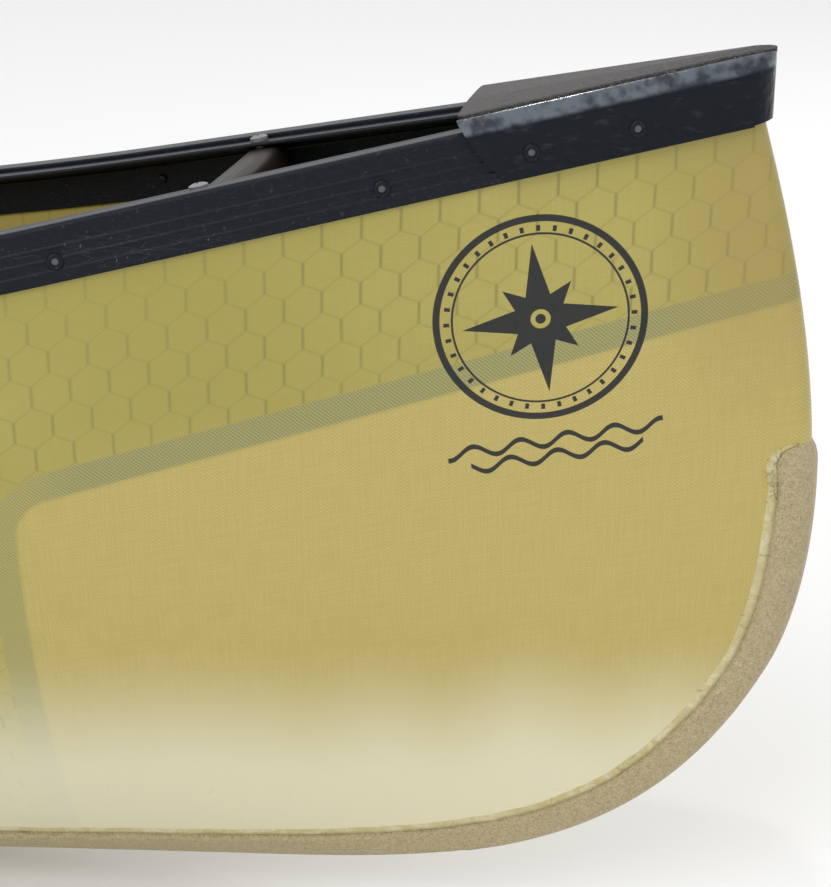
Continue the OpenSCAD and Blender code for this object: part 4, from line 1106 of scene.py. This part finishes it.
def makeTank(end, word):
    look = tankLook
    path = tankPath()
    tangent = np.gradient(path, axis=0)
    tangent /= np.linalg.norm(tangent, axis=1)[:, None]
    outward = np.stack([tangent[:, 1], -tangent[:, 0]], 1)
    run = np.concatenate([[0], np.cumsum(np.linalg.norm(np.diff(path, axis=0), axis=1))])
    rows, uvs = [], []
    for (x, z), out, along in zip(path, outward, run):
        half = max(0.0009, insideAt(x, z) - 0.0004)
        cove = min(0.006, half * 0.5)
        ring = []
        for reach, sink in ((look["tapeWidth"], 0.0002), (look["tapeWidth"] - 0.001, 0.0008), (0.009, 0.0009), (0.0045, 0.0014)):
            px, pz = x + out[0] * reach, z + out[1] * reach
            ring.append((px, max(0.0004, insideAt(px, pz) - sink), pz))
        for inset, lift in ((0.25, 0.0019), (0.6, 0.0006), (1.0, 0.0)):
            ring.append((x + out[0] * lift, half - cove * inset, z + out[1] * lift))
        for share in (0.75, 0.5, 0.25, 0.0):
            ring.append((x, (half - cove) * share, z))
        full = [(end * a, b, c) for a, b, c in ring] + [(end * a, -b, c) for a, b, c in ring[-2::-1]]
        rows.append(full)
        uvs.append([(along, p[1]) for p in full])
    size = len(rows[0])
    made = makeObject(word + "_tank_deck", [p for r in rows for p in r], gridFaces(len(rows), size),
                      uvs=np.array([u for r in uvs for u in r]), materials=(materials["tank"],))
    if sum(f.normal.z for f in made.data.polygons) < 0:
        made.data.flip_normals()
    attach(made, "boat")
    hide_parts(word + "_float_tank")


for end, word in ((1, "bow"), (-1, "stern")):
    makeTank(end, word)
print("tanks made")


# Wood
def roundedRing(low, high, bottom, top, radius, steps=5):
    corners = [(high - radius, top - radius, 0), (low + radius, top - radius, 1),
               (low + radius, bottom + radius, 2), (high - radius, bottom + radius, 3)]
    return [(x + radius * math.cos(halfPi * (q + k / steps)), z + radius * math.sin(halfPi * (q + k / steps)))
            for x, z, q in corners for k in range(steps + 1)]


# A beam across the boat, its fore and aft edges given over y from -1 to 1, on the CAD beam's centre
def crossBeam(name, node, fore, aft, thickness, radius, material):
    low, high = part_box(node)
    centre = (low + high) / 2
    x0 = {"yoke": 0.0}.get(node, centre.x)
    _, za = railPoint(np.array(x0 - 0.02))
    _, zb = railPoint(np.array(x0 + 0.02))
    tilt = float(zb - za) / 0.04
    steps = 72
    rings = []
    inset = form["skin"] + form["railMetal"] + 0.0042

    def endAt(x):
        y, _ = railPoint(np.array(x))
        ya, _ = railPoint(np.array(x + 0.02))
        return float(y) - inset * math.sqrt(1 + (float(ya - y) / 0.02) ** 2)

    ends = endAt(x0 + fore(1.0)), endAt(x0 - aft(1.0))
    for n in range(-1, steps + 2):
        t = min(max(n, 0), steps) / steps * 2 - 1
        shrink = 0.0016 if n in (-1, steps + 1) else 0.0
        front, back = fore(t) - shrink, -aft(t) + shrink
        ring = []
        for x, z in roundedRing(back, front, -thickness / 2 + shrink, thickness / 2 - shrink, radius):
            share = (x - back) / (front - back)
            y = t * (ends[0] * share + ends[1] * (1 - share)) * (1.0 if shrink else 1 - 0.0016 / ends[0])
            ring.append((x0 + x, y, centre.z + z + x * tilt))
        rings.append(ring)
    made = loft(name, rings, (material,), sharp=0.8)
    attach(made, "boat")
    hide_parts(node)
    return made


def bell(y, at, width):
    return math.exp(-((y - at) / width) ** 2)


def waist(half, thin):
    return lambda y: half * (thin + (1 - thin) * abs(y) ** 3)


crossBeam("carved_yoke", "yoke",
          lambda y: 0.031 * (0.78 + 0.22 * abs(y) ** 3) + 0.026 * bell(y, 0, 0.3),
          lambda y: 0.031 * (0.78 + 0.22 * abs(y) ** 3) + 0.014 * bell(abs(y), 0.33, 0.14) - 0.034 * bell(y, 0, 0.17),
          0.020, 0.0075, materials["woodAcross"])
crossBeam("turned_thwart", "stern_thwart", waist(0.024, 0.76), waist(0.024, 0.76), 0.020, 0.0075,
          materials["woodAcross"])
# the carry handles take the near-black wood, as painted shade
crossBeam("bow_grip_handle", "bow_carry_handle", waist(0.014, 0.86), waist(0.014, 0.86), 0.020, 0.0080,
          materials["woodPaintedShade"])
crossBeam("stern_grip_handle", "stern_carry_handle", waist(0.014, 0.86), waist(0.014, 0.86), 0.020, 0.0080,
          materials["woodPaintedShade"])


# A straight length of wood with eased edges, along x or y
def plank(name, low, high, axis, radius=0.004):
    other = 1 - axis
    rings = []
    for at, shrink in ((low[axis], 0.0014), (low[axis] + 0.0014, 0), (high[axis] - 0.0014, 0), (high[axis], 0.0014)):
        ring = roundedRing(low[other] + shrink, high[other] - shrink, low[2] + shrink, high[2] - shrink, radius)
        rings.append([(at, a, z) if axis == 0 else (a, at, z) for a, z in ring])
    return loft(name, rings, (materials["woodAlong" if axis == 0 else "woodAcross"],), sharp=0.8)


def placeWood(made, body, node):
    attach(made, body)
    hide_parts(node)


for node, axis, body in (("stern_seat_front_rail", 1, "boat"), ("stern_seat_rear_rail", 1, "boat"),
                         ("bow_seat_front_bar", 1, "boat"), ("bow_seat_rear_bar", 1, "boat"),
                         ("slide_seat_front_rail", 1, "sliding_seat"), ("slide_seat_rear_rail", 1, "sliding_seat")):
    low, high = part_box(node)
    placeWood(plank(node + "_eased", low, high, axis), body, node)
for node, body in (("stern_seat_side_rails", "boat"), ("slide_seat_side_rails", "sliding_seat")):
    low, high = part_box(node)
    pair = [plank("side", Vector((low.x, high.y - 0.038, low.z)), high, 0),
            plank("side", low, Vector((high.x, low.y + 0.038, high.z)), 0)]
    made = stitch(pair, node + "_eased")
    settle(made, 0.8)
    placeWood(made, body, node)
print("wood made")


# Woven webbing: identical straps in two phases each way, instanced over the seat frame
def strapMesh(length, width, phase, pitch, overhang, drop):
    look = webLook
    t, rings = look["thickness"], []
    stations = []
    for a in np.linspace(0, 1, 5):
        stations.append((-length / 2 - overhang * math.cos(halfPi * a) ** 0.001 - 0.0004, -drop + (drop - 0.003) * a, 1.0))
    for x in np.linspace(-length / 2, length / 2, int(length / pitch * 10)):
        z = look["weave"] * math.sin(math.pi * (x + length / 2) / pitch + phase)
        stations.append((x, z, 0.0))
    for a in np.linspace(1, 0, 5):
        stations.append((length / 2 + overhang + 0.0004, -drop + (drop - 0.003) * a, -1.0))
    points = np.array([(x, z) for x, z, _ in stations])
    tangent = np.gradient(points, axis=0)
    tangent /= np.linalg.norm(tangent, axis=1)[:, None] + 1e-12
    normal = np.stack([-tangent[:, 1], tangent[:, 0]], 1)
    for p, n in zip(points, normal):
        ring = []
        for w, h in ((-0.5, 0.0), (-0.47, 0.5), (0.47, 0.5), (0.5, 0.0), (0.47, -0.5), (-0.47, -0.5)):
            ring.append((p[0] + n[0] * h * t, w * width, p[1] + n[1] * h * t))
        rings.append(ring)
    return rings


def makeWeb(name, node, body):
    low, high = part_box(node)
    look = webLook
    step = look["strap"] + look["gap"]
    middle = (low + high) / 2
    pieces = []
    for axis in (0, 1):
        length = (high[axis] - low[axis])
        across = high[1 - axis] - low[1 - axis]
        count = int((across - 0.012) / step)
        pitch = (length - 0.002) / int((length - 0.012) / step)
        for odd in (0, 1):
            rings = strapMesh(length, look["strap"], math.pi * (odd + axis) + halfPi, pitch, 0.0012, 0.016)
            if axis == 1:
                rings = [[(-y, x, z) for x, y, z in ring] for ring in rings]
            small = loft("strap", rings, (materials["webbing"],), sharp=0.8)
            places = []
            for n in range(odd, count, 2):
                at = (n - (count - 1) / 2) * (across - 0.012) / count
                places.append((middle.x, middle.y + at, middle.z) if axis == 0 else (middle.x + at, middle.y, middle.z))
            pieces.append(scatter("straps", small, places, [(0, 0, 1)] * len(places), materials["webbing"]))
    made = stitch(pieces, name)
    settle(made, 0.8)
    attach(made, body)
    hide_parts(node)


makeWeb("stern_woven_seat", "stern_seat_webbing", "boat")
makeWeb("bow_woven_seat", "slide_seat_webbing", "sliding_seat")
print("webbing made")


# Slide tubes, clamps and blocks
def layAlongX(obj, place):
    for v in obj.data.vertices:
        x, y, z = v.co
        v.co = (z + place[0], y + place[1], -x + place[2])
    obj.data.update()
    return obj


for word in ("starboard", "port"):
    low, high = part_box("slide_tube_" + word)
    r, length = (high.z - low.z) / 2, high.x - low.x
    profile = [(r - 0.002, 0.012), (r - 0.002, 0.0004), (r - 0.0016, 0.0), (r - 0.0005, 0.0), (r, 0.0005),
               (r, length - 0.0005), (r - 0.0005, length), (r - 0.0016, length), (r - 0.002, length - 0.0004),
               (r - 0.002, length - 0.012)]
    tube = turned("slide_rail_" + word, profile, 56, (materials["tube"],))
    layAlongX(tube, (low.x, (low.y + high.y) / 2, (low.z + high.z) / 2))
    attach(tube, "boat")
    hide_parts("slide_tube_" + word)


# A moulded block with a bore along x
def boredBlock(low, high, boreZ, boreRadius, material, radius=0.003):
    middle = (low.y + high.y) / 2
    outline = []
    steps = 8
    ring = roundedRing(low.y, high.y, low.z, high.z, radius, steps)
    for n, (y, z) in enumerate(ring):
        nextY, nextZ = ring[(n + 1) % len(ring)]
        outline.append((y, z))
        if math.hypot(nextY - y, nextZ - z) > 0.004:
            outline += [(y + (nextY - y) * k / 6, z + (nextZ - z) * k / 6) for k in range(1, 6)]
    bore = []
    for y, z in outline:
        a = math.atan2(z - boreZ, y - middle)
        bore.append((middle + boreRadius * math.cos(a), boreZ + boreRadius * math.sin(a)))

    def eased(points, towards, share):
        return [(a + (c - a) * share, b + (d - b) * share) for (a, b), (c, d) in zip(points, towards)]

    ease = 0.0011
    loops = [(low.x + ease, outline), (high.x - ease, outline), (high.x, eased(outline, bore, 0.10)),
             (high.x, eased(bore, outline, 0.10)), (high.x - ease, bore), (low.x + ease, bore),
             (low.x, eased(bore, outline, 0.10)), (low.x, eased(outline, bore, 0.10))]
    verts = [(x, y, z) for x, loop in loops for y, z in loop]
    size = len(outline)
    faces = gridFaces(len(loops), size, closed=True)
    faces += [((len(loops) - 1) * size + g, (len(loops) - 1) * size + (g + 1) % size, (g + 1) % size, g) for g in range(size)]
    made = makeObject("block", verts, faces, materials=(material,))
    settle(made, 0.6)
    return made


def makeBlocks(name, node, body, material, halfLength):
    low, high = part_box(node)
    tubeLow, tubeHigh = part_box("slide_tube_port")
    width, boreZ = 0.043, (tubeLow.z + tubeHigh.z) / 2
    pieces = []
    for x in (low.x, high.x - 2 * halfLength):
        for y in (low.y, high.y - width):
            pieces.append(boredBlock(Vector((x, y, low.z)), Vector((x + 2 * halfLength, y + width, high.z)), boreZ,
                                     (tubeHigh.z - tubeLow.z) / 2 + 0.00005, material))
    made = stitch(pieces, name)
    settle(made, 0.6)
    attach(made, body)
    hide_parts(node)


makeBlocks("moulded_clamps", "tube_clamps", "boat", materials["clamp"], 0.013)
makeBlocks("sliding_blocks", "slide_blocks", "sliding_seat", materials["block"], 0.025)

# CAD fasteners and spacers stay, with new finishes
for node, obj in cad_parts.items():
    if node.endswith(("_screws", "_washers", "_nuts")):
        finish = materials["steel"]
    elif node == "hanger_spacers":
        finish = materials["woodAlong"]
    else:
        continue
    obj.data.materials.clear()
    obj.data.materials.append(finish)
print("fittings made")

# Floor, light and camera
floor = makeObject("floor", [(-30, -30, -0.0006), (30, -30, -0.0006), (30, 30, -0.0006), (-30, 30, -0.0006)], [(0, 1, 2, 3)],
                   materials=(makeFloor(),))


def addLight(name, place, aim, size, power):
    data = bpy.data.lights.new(name, "AREA")
    data.shape, data.size, data.energy = "DISK", size, power
    lamp = bpy.data.objects.new(name, data)
    bpy.context.scene.collection.objects.link(lamp)
    lamp.location = place
    lamp.rotation_mode = "QUATERNION"
    lamp.rotation_quaternion = (Vector(aim) - Vector(place)).to_track_quat("-Z", "Y")


addLight("keyLight", (0.6, -3.0, 3.6), (1.9, 0, 0.3), sceneLook["keySize"], sceneLook["keyPower"])
addLight("glintLight", (2.3, -0.4, 2.6), (2.35, 0, 0.5), 0.12, sceneLook["glintPower"])
addLight("rimLight", (3.6, 2.6, 2.6), (2.2, 0, 0.4), 2.0, sceneLook["rimPower"])
world = bpy.data.worlds.new("studio")
bpy.context.scene.world = world
world.use_nodes = True
world.node_tree.nodes["Background"].inputs["Color"].default_value = (1.0, 1.0, 1.0, 1)
world.node_tree.nodes["Background"].inputs["Strength"].default_value = sceneLook["worldStrength"]

look = cameraLook
cameraData = bpy.data.cameras.new("camera")
cameraData.lens, cameraData.clip_start = look["lens"], 0.05
camera = bpy.data.objects.new("camera", cameraData)
bpy.context.scene.collection.objects.link(camera)
camera.location = look["place"]
aim = Vector((-math.sin(look["yaw"]) * math.cos(look["pitch"]), math.cos(look["yaw"]) * math.cos(look["pitch"]),
              -math.sin(look["pitch"])))
camera.rotation_mode = "QUATERNION"
camera.rotation_quaternion = aim.to_track_quat("-Z", "Y")
bpy.context.scene.camera = camera
bpy.context.scene.view_settings.view_transform = "Standard"
print("scene made")
